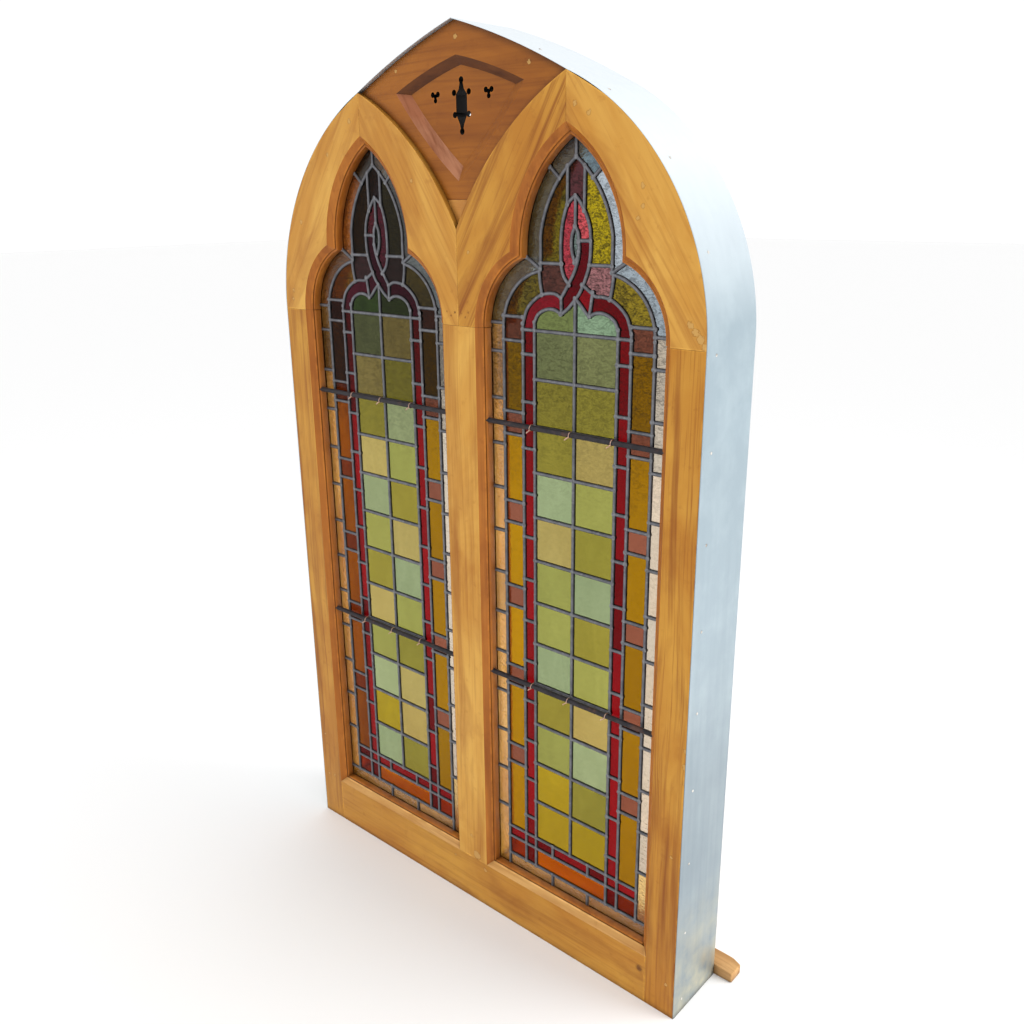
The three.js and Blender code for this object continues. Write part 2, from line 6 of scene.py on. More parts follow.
import bmesh
import bpy
from mathutils import Euler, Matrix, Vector


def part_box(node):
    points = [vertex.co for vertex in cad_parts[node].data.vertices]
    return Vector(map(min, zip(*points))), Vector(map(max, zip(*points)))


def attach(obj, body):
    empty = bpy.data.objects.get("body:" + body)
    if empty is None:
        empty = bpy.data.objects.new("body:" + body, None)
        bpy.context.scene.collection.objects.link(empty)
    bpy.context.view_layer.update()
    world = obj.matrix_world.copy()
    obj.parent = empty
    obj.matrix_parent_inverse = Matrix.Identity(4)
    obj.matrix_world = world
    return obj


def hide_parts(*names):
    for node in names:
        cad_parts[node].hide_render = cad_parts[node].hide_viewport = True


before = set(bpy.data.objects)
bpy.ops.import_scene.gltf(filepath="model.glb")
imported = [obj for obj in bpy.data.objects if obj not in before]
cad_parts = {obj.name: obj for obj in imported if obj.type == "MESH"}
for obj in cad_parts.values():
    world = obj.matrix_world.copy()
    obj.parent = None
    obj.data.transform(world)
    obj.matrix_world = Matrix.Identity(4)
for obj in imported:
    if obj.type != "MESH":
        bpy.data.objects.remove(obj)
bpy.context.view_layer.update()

MM = 0.001

# Places taken from the frame.
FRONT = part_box("right_jamb")[0].y
WOOD_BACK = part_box("right_jamb")[1].y
HALF_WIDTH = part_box("right_band")[1].x
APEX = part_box("right_band")[1].z
BAND_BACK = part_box("right_band")[1].y
SHEET = 1.2 * MM
WOOD_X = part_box("right_jamb")[1].x
SPRING = round(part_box("right_jamb")[1].z, 3)
SIGHT_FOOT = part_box("bottom_rail")[1].z
AXIS = (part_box("right_clear_border")[0].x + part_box("right_clear_border")[1].x) / 2
LEAD_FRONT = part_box("right_lead_cames")[0].y
GLASS_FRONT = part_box("right_clear_border")[0].y
GLASS_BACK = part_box("right_clear_border")[1].y

# The moulding round each light, out from the sight line of the glass and back from the front faces.
GAP = 0.3 * MM
FACE_OUT = 15 * MM
CHAMFER_OUT = 4 * MM
CHAMFER_DEPTH = 11 * MM
GROOVE_OUT = 14 * MM
GROOVE_BACK = 31 * MM
JAMB_FACE = 437 * MM
MULLION_FACE = 39 * MM
RAIL_FACE = SIGHT_FOOT - FACE_OUT
SIGHT_HALF = (JAMB_FACE - MULLION_FACE) / 2 - FACE_OUT

# The trefoil head over a light: side lobes at the springing and a pointed arch.
LOBE_X, LOBE_Z, LOBE_R = 59 * MM, 1222 * MM, SIGHT_HALF - 59 * MM
ARCH_X, ARCH_Z, ARCH_R = 104 * MM, 1350 * MM, 205 * MM

# The outer outline and the upper edges of the inner head pieces.
HEAD_ARC_X = 68 * MM
HEAD_ARC_R = HALF_WIDTH - HEAD_ARC_X
SHOULDER_X = 240 * MM
SHOULDER_Z = SPRING + math.sqrt(HEAD_ARC_R ** 2 - (SHOULDER_X - HEAD_ARC_X) ** 2)
TOP_ARC_R = 1400 * MM
HALF_CHORD = math.hypot(SHOULDER_X, APEX - SHOULDER_Z) / 2
TO_CENTRE = math.sqrt(TOP_ARC_R ** 2 - HALF_CHORD ** 2)
TOP_ARC_X = SHOULDER_X / 2 - TO_CENTRE * (APEX - SHOULDER_Z) / 2 / HALF_CHORD
TOP_ARC_Z = (SHOULDER_Z + APEX) / 2 - TO_CENTRE * SHOULDER_X / 2 / HALF_CHORD
INNER_ARC_X, INNER_ARC_Z, INNER_ARC_R = 468 * MM, 1143 * MM, 526 * MM

WELD = 0.02 * MM  # points closer than this are joined
# Sides of the round cutters, more of them on the larger ones.
LOBE_SIDES, ARCH_SIDES, SHOULDER_SIDES, CONCAVE_SIDES, KITE_SIDES, TOP_SIDES = 128, 192, 288, 360, 720, 900


# ---------------------------------------------------------------- modelling helpers

def deselect():
    bpy.ops.object.select_all(action="DESELECT")


def choose(piece):
    deselect()
    piece.select_set(True)
    bpy.context.view_layer.objects.active = piece


def settle(piece):
    """Puts a piece's place into its mesh, with its object at the origin."""
    choose(piece)
    bpy.ops.object.transform_apply(location=True, rotation=True, scale=True)
    return piece


def block(name, low, high):
    """A block between two corners."""
    deselect()
    middle = [(a + b) / 2 for a, b in zip(low, high)]
    size = [b - a for a, b in zip(low, high)]
    bpy.ops.mesh.primitive_cube_add(size=1, location=middle)
    made = bpy.context.object
    made.name = name
    made.scale = size
    return settle(made)


def drum(name, x, z, near_r, far_r, near, far, sides):
    """A round drum about a line running back from the front, from one depth to another."""
    deselect()
    bpy.ops.mesh.primitive_cone_add(
        vertices=sides, radius1=near_r, radius2=far_r, depth=far - near,
        location=(x, FRONT + (near + far) / 2, z), rotation=(-math.pi / 2, 0, 0))
    made = bpy.context.object
    made.name = name
    return settle(made)


def disc(name, x, z, r, near, far, sides):
    """A drum of one radius."""
    return drum(name, x, z, r, r, near, far, sides)


def combine(piece, other, operation, keep=False, own_crossings=False):
    """Cuts or joins a piece with another, which may cross itself."""
    choose(piece)
    step = piece.modifiers.new("cut", "BOOLEAN")
    step.operation = operation
    step.object = other
    step.solver = "EXACT"
    step.use_self = own_crossings
    bpy.ops.object.modifier_apply(modifier=step.name)
    if not keep:
        bpy.data.objects.remove(other)
    return piece


def cut(piece, other, keep=False):
    return combine(piece, other, "DIFFERENCE", keep)


def common(piece, other):
    return combine(piece, other, "INTERSECT")


def fuse(piece, other):
    return combine(piece, other, "UNION")


def face_out(piece, weld=0.0):
    """Joins the points of a piece that lie within weld of each other and turns its faces outwards."""
    choose(piece)
    bpy.ops.object.mode_set(mode="EDIT")
    bpy.ops.mesh.select_all(action="SELECT")
    if weld:
        bpy.ops.mesh.remove_doubles(threshold=weld)
    bpy.ops.mesh.normals_make_consistent(inside=False)
    bpy.ops.object.mode_set(mode="OBJECT")
    return piece


def mirrored(piece, name):
    """The same piece on the other side of the window."""
    choose(piece)
    bpy.ops.object.duplicate()
    made = bpy.context.object
    made.name = name
    made.scale = (-1, 1, 1)
    return face_out(settle(made))


def clean(piece):
    return face_out(piece, WELD)


def ease(piece, width, segments=2, angle=28):
    """Softens the arrises of a piece."""
    choose(piece)
    step = piece.modifiers.new("ease", "BEVEL")
    step.width = width
    step.segments = segments
    step.limit_method = "ANGLE"
    step.angle_limit = math.radians(angle)
    step.use_clamp_overlap = True
    step.harden_normals = False
    bpy.ops.object.modifier_apply(modifier=step.name)


def smooth(piece, angle=35):
    choose(piece)
    bpy.ops.object.shade_smooth_by_angle(angle=math.radians(angle))
    even = piece.modifiers.new("even", "WEIGHTED_NORMAL")
    even.keep_sharp = True
    even.weight = 80
    bpy.ops.object.modifier_apply(modifier=even.name)


def work_up(piece, width, segments=2, angle=28, soft=35):
    """Cleans a cut piece, softens its arrises and shades it smoothly."""
    clean(piece)
    ease(piece, width, segments, angle)
    smooth(piece, soft)


def pick_edges(piece, test):
    """Opens a piece for editing with those edges selected that pass a test of their middle and themselves."""
    choose(piece)
    bpy.ops.object.mode_set(mode="EDIT")
    bpy.ops.mesh.select_mode(type="EDGE")
    bpy.ops.mesh.select_all(action="DESELECT")
    mesh = bmesh.from_edit_mesh(piece.data)
    for edge in mesh.edges:
        edge.select = test((edge.verts[0].co + edge.verts[1].co) / 2, edge)
    bmesh.update_edit_mesh(piece.data)


def along_z(edge):
    return abs(edge.verts[0].co.z - edge.verts[1].co.z) > 0.1


def along_x(edge):
    return abs(edge.verts[0].co.x - edge.verts[1].co.x) > 0.1


def chamfer_edges(piece, test, width):
    """Planes off the edges of a piece that pass a test."""
    pick_edges(piece, test)
    bpy.ops.mesh.bevel(offset=width, offset_type="OFFSET", segments=1)
    bpy.ops.object.mode_set(mode="OBJECT")


def reshape(piece, cuts, move):
    """Divides the long edges of a piece across the window, then moves each of its points."""
    pick_edges(piece, lambda at, edge: along_x(edge))
    bpy.ops.mesh.subdivide(number_cuts=cuts)
    mesh = bmesh.from_edit_mesh(piece.data)
    for vert in mesh.verts:
        move(vert.co)
    bmesh.update_edit_mesh(piece.data)
    bpy.ops.object.mode_set(mode="OBJECT")


def dress(piece, material, slot, *nodes):
    """Gives a finished piece its material and its body, and hides the nodes it stands for. The slot is not
    used.
    """
    if material is not None:
        piece.data.materials.clear()
        piece.data.materials.append(material)
    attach(piece, "root")
    if nodes:
        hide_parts(*nodes)
    return piece


# ---------------------------------------------------------------- shader groups

def group(name, inputs, outputs):
    """An empty shader group with its sockets; gives the tree and its two ends."""
    tree = bpy.data.node_groups.new(name, "ShaderNodeTree")
    for label, kind, value in inputs:
        socket = tree.interface.new_socket(name=label, in_out="INPUT", socket_type=kind)
        if value is not None:
            socket.default_value = value
    for label, kind in outputs:
        tree.interface.new_socket(name=label, in_out="OUTPUT", socket_type=kind)
    return tree, tree.nodes.new("NodeGroupInput"), tree.nodes.new("NodeGroupOutput")


def node(tree, kind, **values):
    made = tree.nodes.new(kind)
    for key, value in values.items():
        setattr(made, key, value)
    return made


def feed(tree, made, inputs):
    """Gives the inputs of a node, by name or number, their values: numbers, colours, vectors or links."""
    for label, value in inputs.items():
        socket = made.inputs[label]
        if isinstance(value, (int, float)):
            socket.default_value = value
        elif isinstance(value, tuple):
            socket.default_value = (*value, 1.0) if socket.type == "RGBA" and len(value) == 3 else value
        else:
            tree.links.new(value, socket)
    return made


def wired(tree, kind, inputs, **values):
    return feed(tree, node(tree, kind, **values), inputs)


def math_node(tree, operation, first, second=None, clamp=False):
    inputs = {0: first} if second is None else {0: first, 1: second}
    return wired(tree, "ShaderNodeMath", inputs, operation=operation, use_clamp=clamp).outputs[0]


def times(tree, first, second, clamp=False):
    return math_node(tree, "MULTIPLY", first, second, clamp)


def mix_colour(tree, share, first, second, blend="MIX"):
    made = node(tree, "ShaderNodeMix", data_type="RGBA", blend_type=blend)
    places = {socket.name: i for i, socket in enumerate(made.inputs) if socket.enabled}
    feed(tree, made, {places["Factor"]: share, places["A"]: first, places["B"]: second})
    return [socket for socket in made.outputs if socket.enabled][0]


def laid_over(tree, colour, mask, amount, paint):
    """A colour with an amount of another laid over it where a mask is strong."""
    return mix_colour(tree, times(tree, mask, amount), colour, paint)


def spread(tree, value, low, high, to_low=0.0, to_high=1.0):
    inputs = {"Value": value, "From Min": low, "From Max": high, "To Min": to_low, "To Max": to_high}
    return wired(tree, "ShaderNodeMapRange", inputs, clamp=True).outputs["Result"]


def noise(tree, vector, scale, detail=3.0, roughness=0.5, distortion=0.0):
    return wired(tree, "ShaderNodeTexNoise", {
        "Vector": vector, "Scale": scale, "Detail": detail, "Roughness": roughness,
        "Distortion": distortion}).outputs["Fac"]


def stretched(tree, vector, scale):
    return wired(tree, "ShaderNodeVectorMath", {0: vector, 1: scale}, operation="MULTIPLY").outputs["Vector"]


def distance(tree, vector, spot):
    return wired(tree, "ShaderNodeVectorMath", {0: vector, 1: spot}, operation="DISTANCE").outputs["Value"]


def part_of(tree, vector, axis):
    return wired(tree, "ShaderNodeSeparateXYZ", {0: vector}).outputs[axis]


PLACE_IN = ("Vector", "NodeSocketVector", None)
MASK_OUT = [("Mask", "NodeSocketFloat")]


def pine_grain_group():
    """Flat-sawn pine: long streaks along Z of the given vector, fine lines, and soft cloudy stain."""
    tree, start, end = group(
        "pine_grain",
        [PLACE_IN, ("Pale", "NodeSocketColor", (0.5, 0.3, 0.12, 1)),
         ("Middle", "NodeSocketColor", (0.4, 0.2, 0.06, 1)), ("Dark", "NodeSocketColor", (0.25, 0.1, 0.03, 1)),
         ("Streaks", "NodeSocketFloat", 0.6), ("Cloud", "NodeSocketFloat", 0.5)],
        [("Color", "NodeSocketColor"), ("Height", "NodeSocketFloat"), ("Roughness", "NodeSocketFloat")])
    vector, dark, streaks = (start.outputs[label] for label in ("Vector", "Dark", "Streaks"))
    waves = noise(tree, stretched(tree, vector, (1, 1, 0.12)), 16, 2, 0.5, 0.6)
    shift = wired(tree, "ShaderNodeCombineXYZ", {"X": times(tree, waves, 0.03)}).outputs[0]
    along = wired(tree, "ShaderNodeVectorMath", {0: vector, 1: shift}, operation="ADD").outputs["Vector"]
    broad = noise(tree, stretched(tree, along, (1, 1, 0.05)), 42, 3, 0.55)
    lines = noise(tree, stretched(tree, along, (1, 1, 0.022)), 150, 4, 0.62)
    pores = noise(tree, stretched(tree, along, (1, 1, 0.03)), 700, 2, 0.5)
    cloud = noise(tree, stretched(tree, vector, (1, 1, 0.45)), 7, 4, 0.6, 0.7)
    cloudy = times(tree, spread(tree, cloud, 0.38, 0.62), start.outputs["Cloud"], True)
    base = mix_colour(tree, cloudy, start.outputs["Pale"], start.outputs["Middle"])
    streaked = mix_colour(tree, times(tree, spread(tree, broad, 0.5, 0.72), streaks, True), base, dark)
    stain = spread(tree, noise(tree, stretched(tree, vector, (1, 1, 0.3)), 19, 4, 0.6, 0.5), 0.5, 0.72)
    stained = laid_over(tree, streaked, stain, 0.42, dark)
    grain = wired(tree, "ShaderNodeMath", {0: streaks, 1: 0.75, 2: 0.08}, operation="MULTIPLY_ADD").outputs[0]
    fine = times(tree, spread(tree, lines, 0.5, 0.72), grain, True)
    feed(tree, end, {
        "Color": mix_colour(tree, fine, stained, dark),
        "Height": math_node(tree, "ADD", times(tree, lines, 0.6), times(tree, pores, 0.4)),
        "Roughness": spread(tree, broad, 0.3, 0.8, 0.0, 0.12)})
    return tree


def blotch_group():
    """A mask of soft blotches over the surface, for wear, dust, bloom and stains."""
    tree, start, end = group(
        "blotches",
        [PLACE_IN, ("Scale", "NodeSocketFloat", 20.0), ("From", "NodeSocketFloat", 0.5),
         ("To", "NodeSocketFloat", 0.7)], MASK_OUT)
    patches = noise(tree, start.outputs["Vector"], start.outputs["Scale"], 5, 0.62)
    feed(tree, end, {"Mask": spread(tree, patches, start.outputs["From"], start.outputs["To"])})
    return tree


def edge_wear_and_highlight_group():
    """A mask that is strong on the arrises and broken up by blotches: worn varnish with a painted highlight.
    """
    tree, start, end = group("edge_wear_and_highlight", [PLACE_IN, ("Reach", "NodeSocketFloat", 0.003)], MASK_OUT)
    thin = wired(tree, "ShaderNodeAmbientOcclusion", {"Distance": start.outputs["Reach"]},
                 samples=4, inside=True, only_local=True)
    broken = spread(tree, noise(tree, start.outputs["Vector"], 38, 4, 0.6), 0.42, 0.6)
    near_edge = spread(tree, thin.outputs["AO"], 0.55, 0.95, 1.0, 0.0)
    feed(tree, end, {"Mask": times(tree, near_edge, broken)})
    return tree


def crevice_shade_group():
    """A mask of painted shade in joints, inner corners and recesses, where ambient occlusion finds them shut
    in.
    """
    tree, start, end = group("crevice_shade", [PLACE_IN, ("Reach", "NodeSocketFloat", 0.013)], MASK_OUT)
    closed = wired(tree, "ShaderNodeAmbientOcclusion", {"Distance": start.outputs["Reach"]}, samples=4)
    uneven = spread(tree, noise(tree, start.outputs["Vector"], 30, 3), 0.3, 0.7, 0.65, 1.0)
    shut_in = spread(tree, closed.outputs["AO"], 0.45, 0.96, 1.0, 0.0)
    feed(tree, end, {"Mask": times(tree, shut_in, uneven)})
    return tree


PINE_GRAIN = pine_grain_group()
CREVICE_SHADE = crevice_shade_group()
BLOTCHES = blotch_group()
EDGE_WEAR_AND_HIGHLIGHT = edge_wear_and_highlight_group()


def placed_group(tree, source, **inputs):
    return wired(tree, "ShaderNodeGroup", inputs, node_tree=source)


def blotches(tree, place, scale, low, high):
    return placed_group(tree, BLOTCHES, Vector=place, Scale=scale, From=low, To=high).outputs["Mask"]


# Painted shade in joints, inner corners and recesses.
def crevice_shade(tree, place):
    return placed_group(tree, CREVICE_SHADE, Vector=place).outputs["Mask"]


def new_material(name):
    made = bpy.data.materials.new(name)
    made.use_nodes = True
    tree = made.node_tree
    shader = tree.nodes["Principled BSDF"]
    place = node(tree, "ShaderNodeTexCoord").outputs["Object"]
    return made, tree, shader, place


def bump(tree, shader, height, strength, distance_out):
    inputs = {"Strength": strength, "Distance": distance_out, "Height": height}
    feed(tree, shader, {"Normal": wired(tree, "ShaderNodeBump", inputs).outputs["Normal"]})


def turned(tree, vector, angle, offset=(0, 0, 0)):
    """The place turned about the front-to-back line, so that Z of the result runs along the grain."""
    inputs = {"Vector": vector, "Rotation": (0, -angle, 0), "Location": offset}
    return wired(tree, "ShaderNodeMapping", inputs, vector_type="POINT").outputs["Vector"]


def patchy_metal(name, patches, colours, metallic, roughness, grit=None):
    """A metal of two colours in patches, each with its roughness; grit is the scale of a fine raised grain."""
    made, tree, shader, place = new_material(name)
    mask = blotches(tree, place, *patches)
    feed(tree, shader, {"Base Color": mix_colour(tree, mask, *colours), "Metallic": metallic,
                        "Roughness": spread(tree, mask, 0, 1, *roughness)})
    if grit:
        bump(tree, shader, noise(tree, place, grit), 0.3, 0.0004)
    return made


def wood_tones(pale, middle, dark):
    return {"Pale": pale, "Middle": middle, "Dark": dark}


def darker(tone, share):
    return tuple(share * c for c in tone)


HONEY = wood_tones((0.54, 0.265, 0.036), (0.40, 0.150, 0.013), (0.21, 0.052, 0.004))
PALE_HONEY = wood_tones((0.64, 0.350, 0.068), (0.48, 0.205, 0.024), (0.27, 0.075, 0.006))
BOARD = wood_tones((0.33, 0.108, 0.009), (0.24, 0.068, 0.005), (0.14, 0.033, 0.003))
ORANGE = wood_tones((0.46, 0.160, 0.022), (0.34, 0.100, 0.012), (0.20, 0.048, 0.006))
TIP = wood_tones((0.56, 0.28, 0.065), (0.46, 0.19, 0.035), (0.30, 0.10, 0.015))
SEAM_DIRT = wood_tones((0.06, 0.022, 0.006), (0.04, 0.014, 0.004), (0.015, 0.005, 0.002))
# Near black, for the walls of the piercings.
PIERCING_BLACK = wood_tones((0.009, 0.007, 0.006), (0.006, 0.005, 0.004), (0.003, 0.002, 0.002))
LIT_SILL_SLOPE = wood_tones((0.66, 0.38, 0.13), (0.52, 0.25, 0.06), (0.30, 0.10, 0.014))
# Painted shade for the kite's upper slopes and a painted highlight for its lower left slope.
KITE_SHADE = wood_tones((0.13, 0.038, 0.005), (0.10, 0.028, 0.005), (0.05, 0.013, 0.003))
KITE_HIGHLIGHT = wood_tones((0.50, 0.24, 0.13), (0.33, 0.115, 0.05), (0.17, 0.045, 0.014))
ROUGH_PINE = wood_tones((0.55, 0.33, 0.14), (0.44, 0.23, 0.08), (0.24, 0.11, 0.035))


def pine(name, tones, angle=0.0, seed=0.0, streaks=0.55, cloud=0.8, gloss=0.34, knots=(), fillers=(), pins=()):
    """Varnished pine, its grain turned to run along a piece, with knots, filled nail holes and pin holes."""
    made, tree, shader, place = new_material(name)
    along = turned(tree, place, angle, (seed, seed * 0.7, seed * 1.3))
    grain = placed_group(tree, PINE_GRAIN, Vector=along, Streaks=streaks, Cloud=cloud, **tones)
    colour = grain.outputs["Color"]
    for x, z, r in knots:
        colour = with_knot(tree, place, colour, x * MM, z * MM, r * MM, tones)
    colour = with_spots(tree, place, colour, fillers, FILLER, tones)
    colour = with_spots(tree, place, colour, pins, PIN_HOLE, tones)
    colour = laid_over(tree, colour, blotches(tree, place, 55.0, 0.6, 0.75), 0.3, tones["Dark"])
    # Worn arrises with a painted highlight, then painted shade in joints and inner corners.
    wear = placed_group(tree, EDGE_WEAR_AND_HIGHLIGHT, Vector=place).outputs["Mask"]
    colour = laid_over(tree, colour, wear, 0.5, tuple(min(1, 1.45 * c) for c in tones["Pale"]))
    colour = laid_over(tree, colour, crevice_shade(tree, place), 0.85, darker(tones["Dark"], 0.22))
    rough = math_node(tree, "ADD", grain.outputs["Roughness"], gloss)
    feed(tree, shader, {
        "Base Color": colour, "Roughness": math_node(tree, "ADD", rough, times(tree, wear, 0.15)),
        "Specular IOR Level": 0.2, "Coat Weight": 0.05, "Coat Roughness": 0.3})
    bump(tree, shader, grain.outputs["Height"], 0.25, 0.0004)
    return made


def with_knot(tree, place, colour, x, z, r, tones):
    """A round knot with dark rings at a place on the front."""
    wobble = times(tree, noise(tree, place, 160, 2), r * 0.7)
    ringed = math_node(tree, "ADD", distance(tree, place, (x, FRONT, z)), wobble)
    rings = math_node(tree, "SINE", times(tree, ringed, 2 * math.pi / (r * 0.45)))
    inside = spread(tree, ringed, r * 0.9, r * 1.6, 1.0, 0.0)
    core = times(tree, inside, spread(tree, rings, -1, 1, 0.65, 0.95))
    return mix_colour(tree, core, colour, darker(tones["Dark"], 0.45))


FILLER = (0.62, 0.37, 0.11)
PIN_HOLE = (0.035, 0.014, 0.006)


def with_spots(tree, place, colour, spots, paint, tones):
    """Small flush spots on the front, each at x and z with its radius, with a dark line round them."""
    if not spots:
        return colour
    flat = stretched(tree, place, (1, 0, 1))
    wobble = spread(tree, noise(tree, place, 230, 3), 0.3, 0.7, -0.002, 0.002)
    nearest = None
    for x, z, r in spots:
        past_edge = math_node(tree, "SUBTRACT", distance(tree, flat, (x * MM, 0, z * MM)), r * MM)
        nearest = past_edge if nearest is None else math_node(tree, "MINIMUM", nearest, past_edge)
    edge = math_node(tree, "ADD", nearest, wobble)
    ring = spread(tree, edge, 0.0002, 0.0014, 1.0, 0.0)
    inside = spread(tree, edge, -0.0008, 0.0002, 1.0, 0.0)
    ringed = laid_over(tree, colour, ring, 0.42, darker(tones["Dark"], 0.5))
    return laid_over(tree, ringed, inside, 0.6, paint)


# ---------------------------------------------------------------- wooden frame

OUTER_ANGLE = math.atan2(SHOULDER_X - HALF_WIDTH, SHOULDER_Z - SPRING)
INNER_ANGLE = math.atan2(SHOULDER_X, SHOULDER_Z - SPRING)

pine_jamb_left = pine("pine_left_jamb", HONEY, 0.0, 3.1, streaks=0.7,
                      fillers=[(-484, 215, 2.5), (-480, 106, 3), (-461, 110, 2.5)])
pine_jamb_right = pine("pine_right_jamb", HONEY, 0.0, 8.4, streaks=0.95,
                       fillers=[(480, 343, 3), (482, 67, 3), (500, 500, 5), (500, 530, 7), (501, 560, 6)])
pine_mullion = pine("pine_mullion", PALE_HONEY, 0.0, 14.2, fillers=[(-3, 157, 3), (12, 115, 9)])
pine_rail = pine("pine_rail", HONEY, math.pi / 2, 5.7, streaks=0.4, knots=[(423, 70, 7)],
                 fillers=[(35, 88, 3.5), (-52, 85, 3)])
pine_head_lo = pine("pine_left_outer_head", PALE_HONEY, -OUTER_ANGLE, 21.3, streaks=0.45,
                    fillers=[(-266, 1570, 3.5), (-335, 1515, 3), (-430, 1392, 3), (-472, 1258, 3),
                             (-475, 1240, 2.5)])
pine_head_li = pine("pine_left_inner_head", PALE_HONEY, -INNER_ANGLE, 27.9, streaks=0.35,
                    fillers=[(-188, 1595, 3), (-167, 1581, 3), (-137, 1556, 3), (-96, 1518, 2.5),
                             (-107, 1465, 3)],
                    pins=[(-28, 1244, 1.2), (-18, 1237, 1.4), (-9, 1243, 1.2)])
pine_head_ri = pine("pine_right_inner_head", HONEY, INNER_ANGLE, 33.5, streaks=0.95,
                    fillers=[(27, 1347, 2.5)], pins=[(8, 1243, 1.2), (17, 1236, 1.4), (24, 1245, 1.2)])
pine_head_ro = pine("pine_right_outer_head", PALE_HONEY, OUTER_ANGLE, 39.1, streaks=0.5,
                    fillers=[(255, 1568, 3.5), (281, 1553, 3.5), (381, 1450, 3), (381, 1422, 3.5),
                             (374, 1404, 3), (470, 1256, 5), (479, 1246, 6), (488, 1236, 6), (496, 1226, 5)])
pine_board = pine("pine_tympanum", BOARD, math.pi / 2, 44.6, streaks=0.5,
                  fillers=[(-145, 1645, 3), (0, 1685, 4), (157, 1633, 3.5)],
                  pins=[(-4, 1531, 1.2), (3, 1526, 1.2)])
pine_tip = pine("pine_tip", TIP, math.pi / 2, 49.9, streaks=0.4)
pine_bead = pine("pine_beads", ORANGE, 0.0, 55.2, streaks=0.6)
pine_chamfer = pine("pine_chamfers", ORANGE, 0.0, 57.9, streaks=0.5)
# The rail's slope is paler as painted light from above.
pine_lit_sill = pine("pine_sill_slope_painted_light", LIT_SILL_SLOPE, math.pi / 2, 62.7, streaks=0.5)
pine_batten = pine("pine_batten", ROUGH_PINE, math.pi / 2, 60.3, streaks=0.7, gloss=0.55)

EASE = 1.1 * MM
JOINT = GAP / 2
POST_TOP = SPRING - JOINT
SPLAY = 24 * MM
OVER = 2 * MM  # how far the scribing wedges stand out in front


def front_back(near, far):
    return FRONT + near, FRONT + far


PLANED = CHAMFER_DEPTH - 0.1 * MM
LIP = 20 * MM  # how far back the wood in front of the groove is first cut in


def work_edges(post, edges):
    """Works the moulding along upright edges of a post, each with the side on which its glass lies."""
    for edge_x, side in edges:
        sight = edge_x + side * FACE_OUT
        rim = sight - side * CHAMFER_OUT
        past = sight + side * MM
        x0, x1 = sorted((rim, past))
        cut(post, block("rim", (x0, FRONT - MM, -MM), (x1, FRONT + LIP, POST_TOP + MM)))
        chamfer_edges(
            post, lambda at, e: along_z(e) and abs(at.x - rim) < 0.1 * MM and at.y < FRONT + MM, PLANED)
        x0, x1 = sorted((sight - side * GROOVE_OUT, past))
        cut(post, block("groove", (x0, FRONT + CHAMFER_DEPTH, -MM), (x1, FRONT + GROOVE_BACK, POST_TOP + MM)))
    return post


def jamb():
    """The right jamb: a planed post, chamfered towards the glass and grooved for it."""
    post = block("right_jamb_wood", (JAMB_FACE - FACE_OUT, FRONT, 0), (WOOD_X, WOOD_BACK, POST_TOP))
    return work_edges(post, [(JAMB_FACE, -1)])


def rail():
    """The bottom rail: the same moulding along its top, its ends scribed to the jambs."""
    width = JAMB_FACE - GAP
    wide = width + MM
    beam = block("bottom_rail_wood", (-width, FRONT, 0), (width, WOOD_BACK, SIGHT_FOOT))
    rim = SIGHT_FOOT - CHAMFER_OUT
    cut(beam, block("rim", (-wide, FRONT - MM, rim), (wide, FRONT + LIP, SIGHT_FOOT + MM)))
    chamfer_edges(beam, lambda at, e: along_x(e) and abs(at.z - rim) < 0.1 * MM and at.y < FRONT + MM, PLANED)
    cut(beam, block("groove", (-wide, FRONT + CHAMFER_DEPTH, SIGHT_FOOT - GROOVE_OUT),
                    (wide, FRONT + GROOVE_BACK, SIGHT_FOOT + MM)))
    above = 200 * MM
    low_x = width - CHAMFER_DEPTH
    wedge = block("wedge", (low_x, FRONT - OVER, -MM), (wide + 20 * MM, FRONT + CHAMFER_DEPTH + MM, above))
    chamfer_edges(wedge, lambda at, e: along_z(e) and at.x < low_x + MM and at.y < FRONT, CHAMFER_DEPTH + OVER)
    tenon = block("tenon", (width - FACE_OUT, FRONT + CHAMFER_DEPTH - GAP, -MM), (wide, WOOD_BACK + MM, above))
    for scribe in (mirrored(wedge, "wedge_left"), wedge, mirrored(tenon, "tenon_left"), tenon):
        cut(beam, scribe)
    return beam


def mullion():
    """The mullion: moulded on both edges, splayed behind, its foot scribed over the rail."""
    half = MULLION_FACE + FACE_OUT
    foot = RAIL_FACE + GAP
    below = 80 * MM
    post = block("mullion_wood", (-half, FRONT, foot), (half, WOOD_BACK, POST_TOP))
    chamfer_edges(post, lambda at, e: along_z(e) and at.y > WOOD_BACK - MM, SPLAY)
    work_edges(post, [(MULLION_FACE, 1), (-MULLION_FACE, -1)])
    size = CHAMFER_DEPTH + 2 * OVER
    wedge = block("wedge", (-half - MM, FRONT - OVER, below), (half + MM, FRONT + 20 * MM, foot - OVER + size))
    chamfer_edges(wedge, lambda at, e: along_x(e) and at.z > RAIL_FACE and at.y < FRONT, size)
    cut(post, wedge)
    return cut(post, block("rail_space", (-half - MM, FRONT + CHAMFER_DEPTH + GAP, below),
                           (half + MM, WOOD_BACK + MM, SIGHT_FOOT + GAP)))


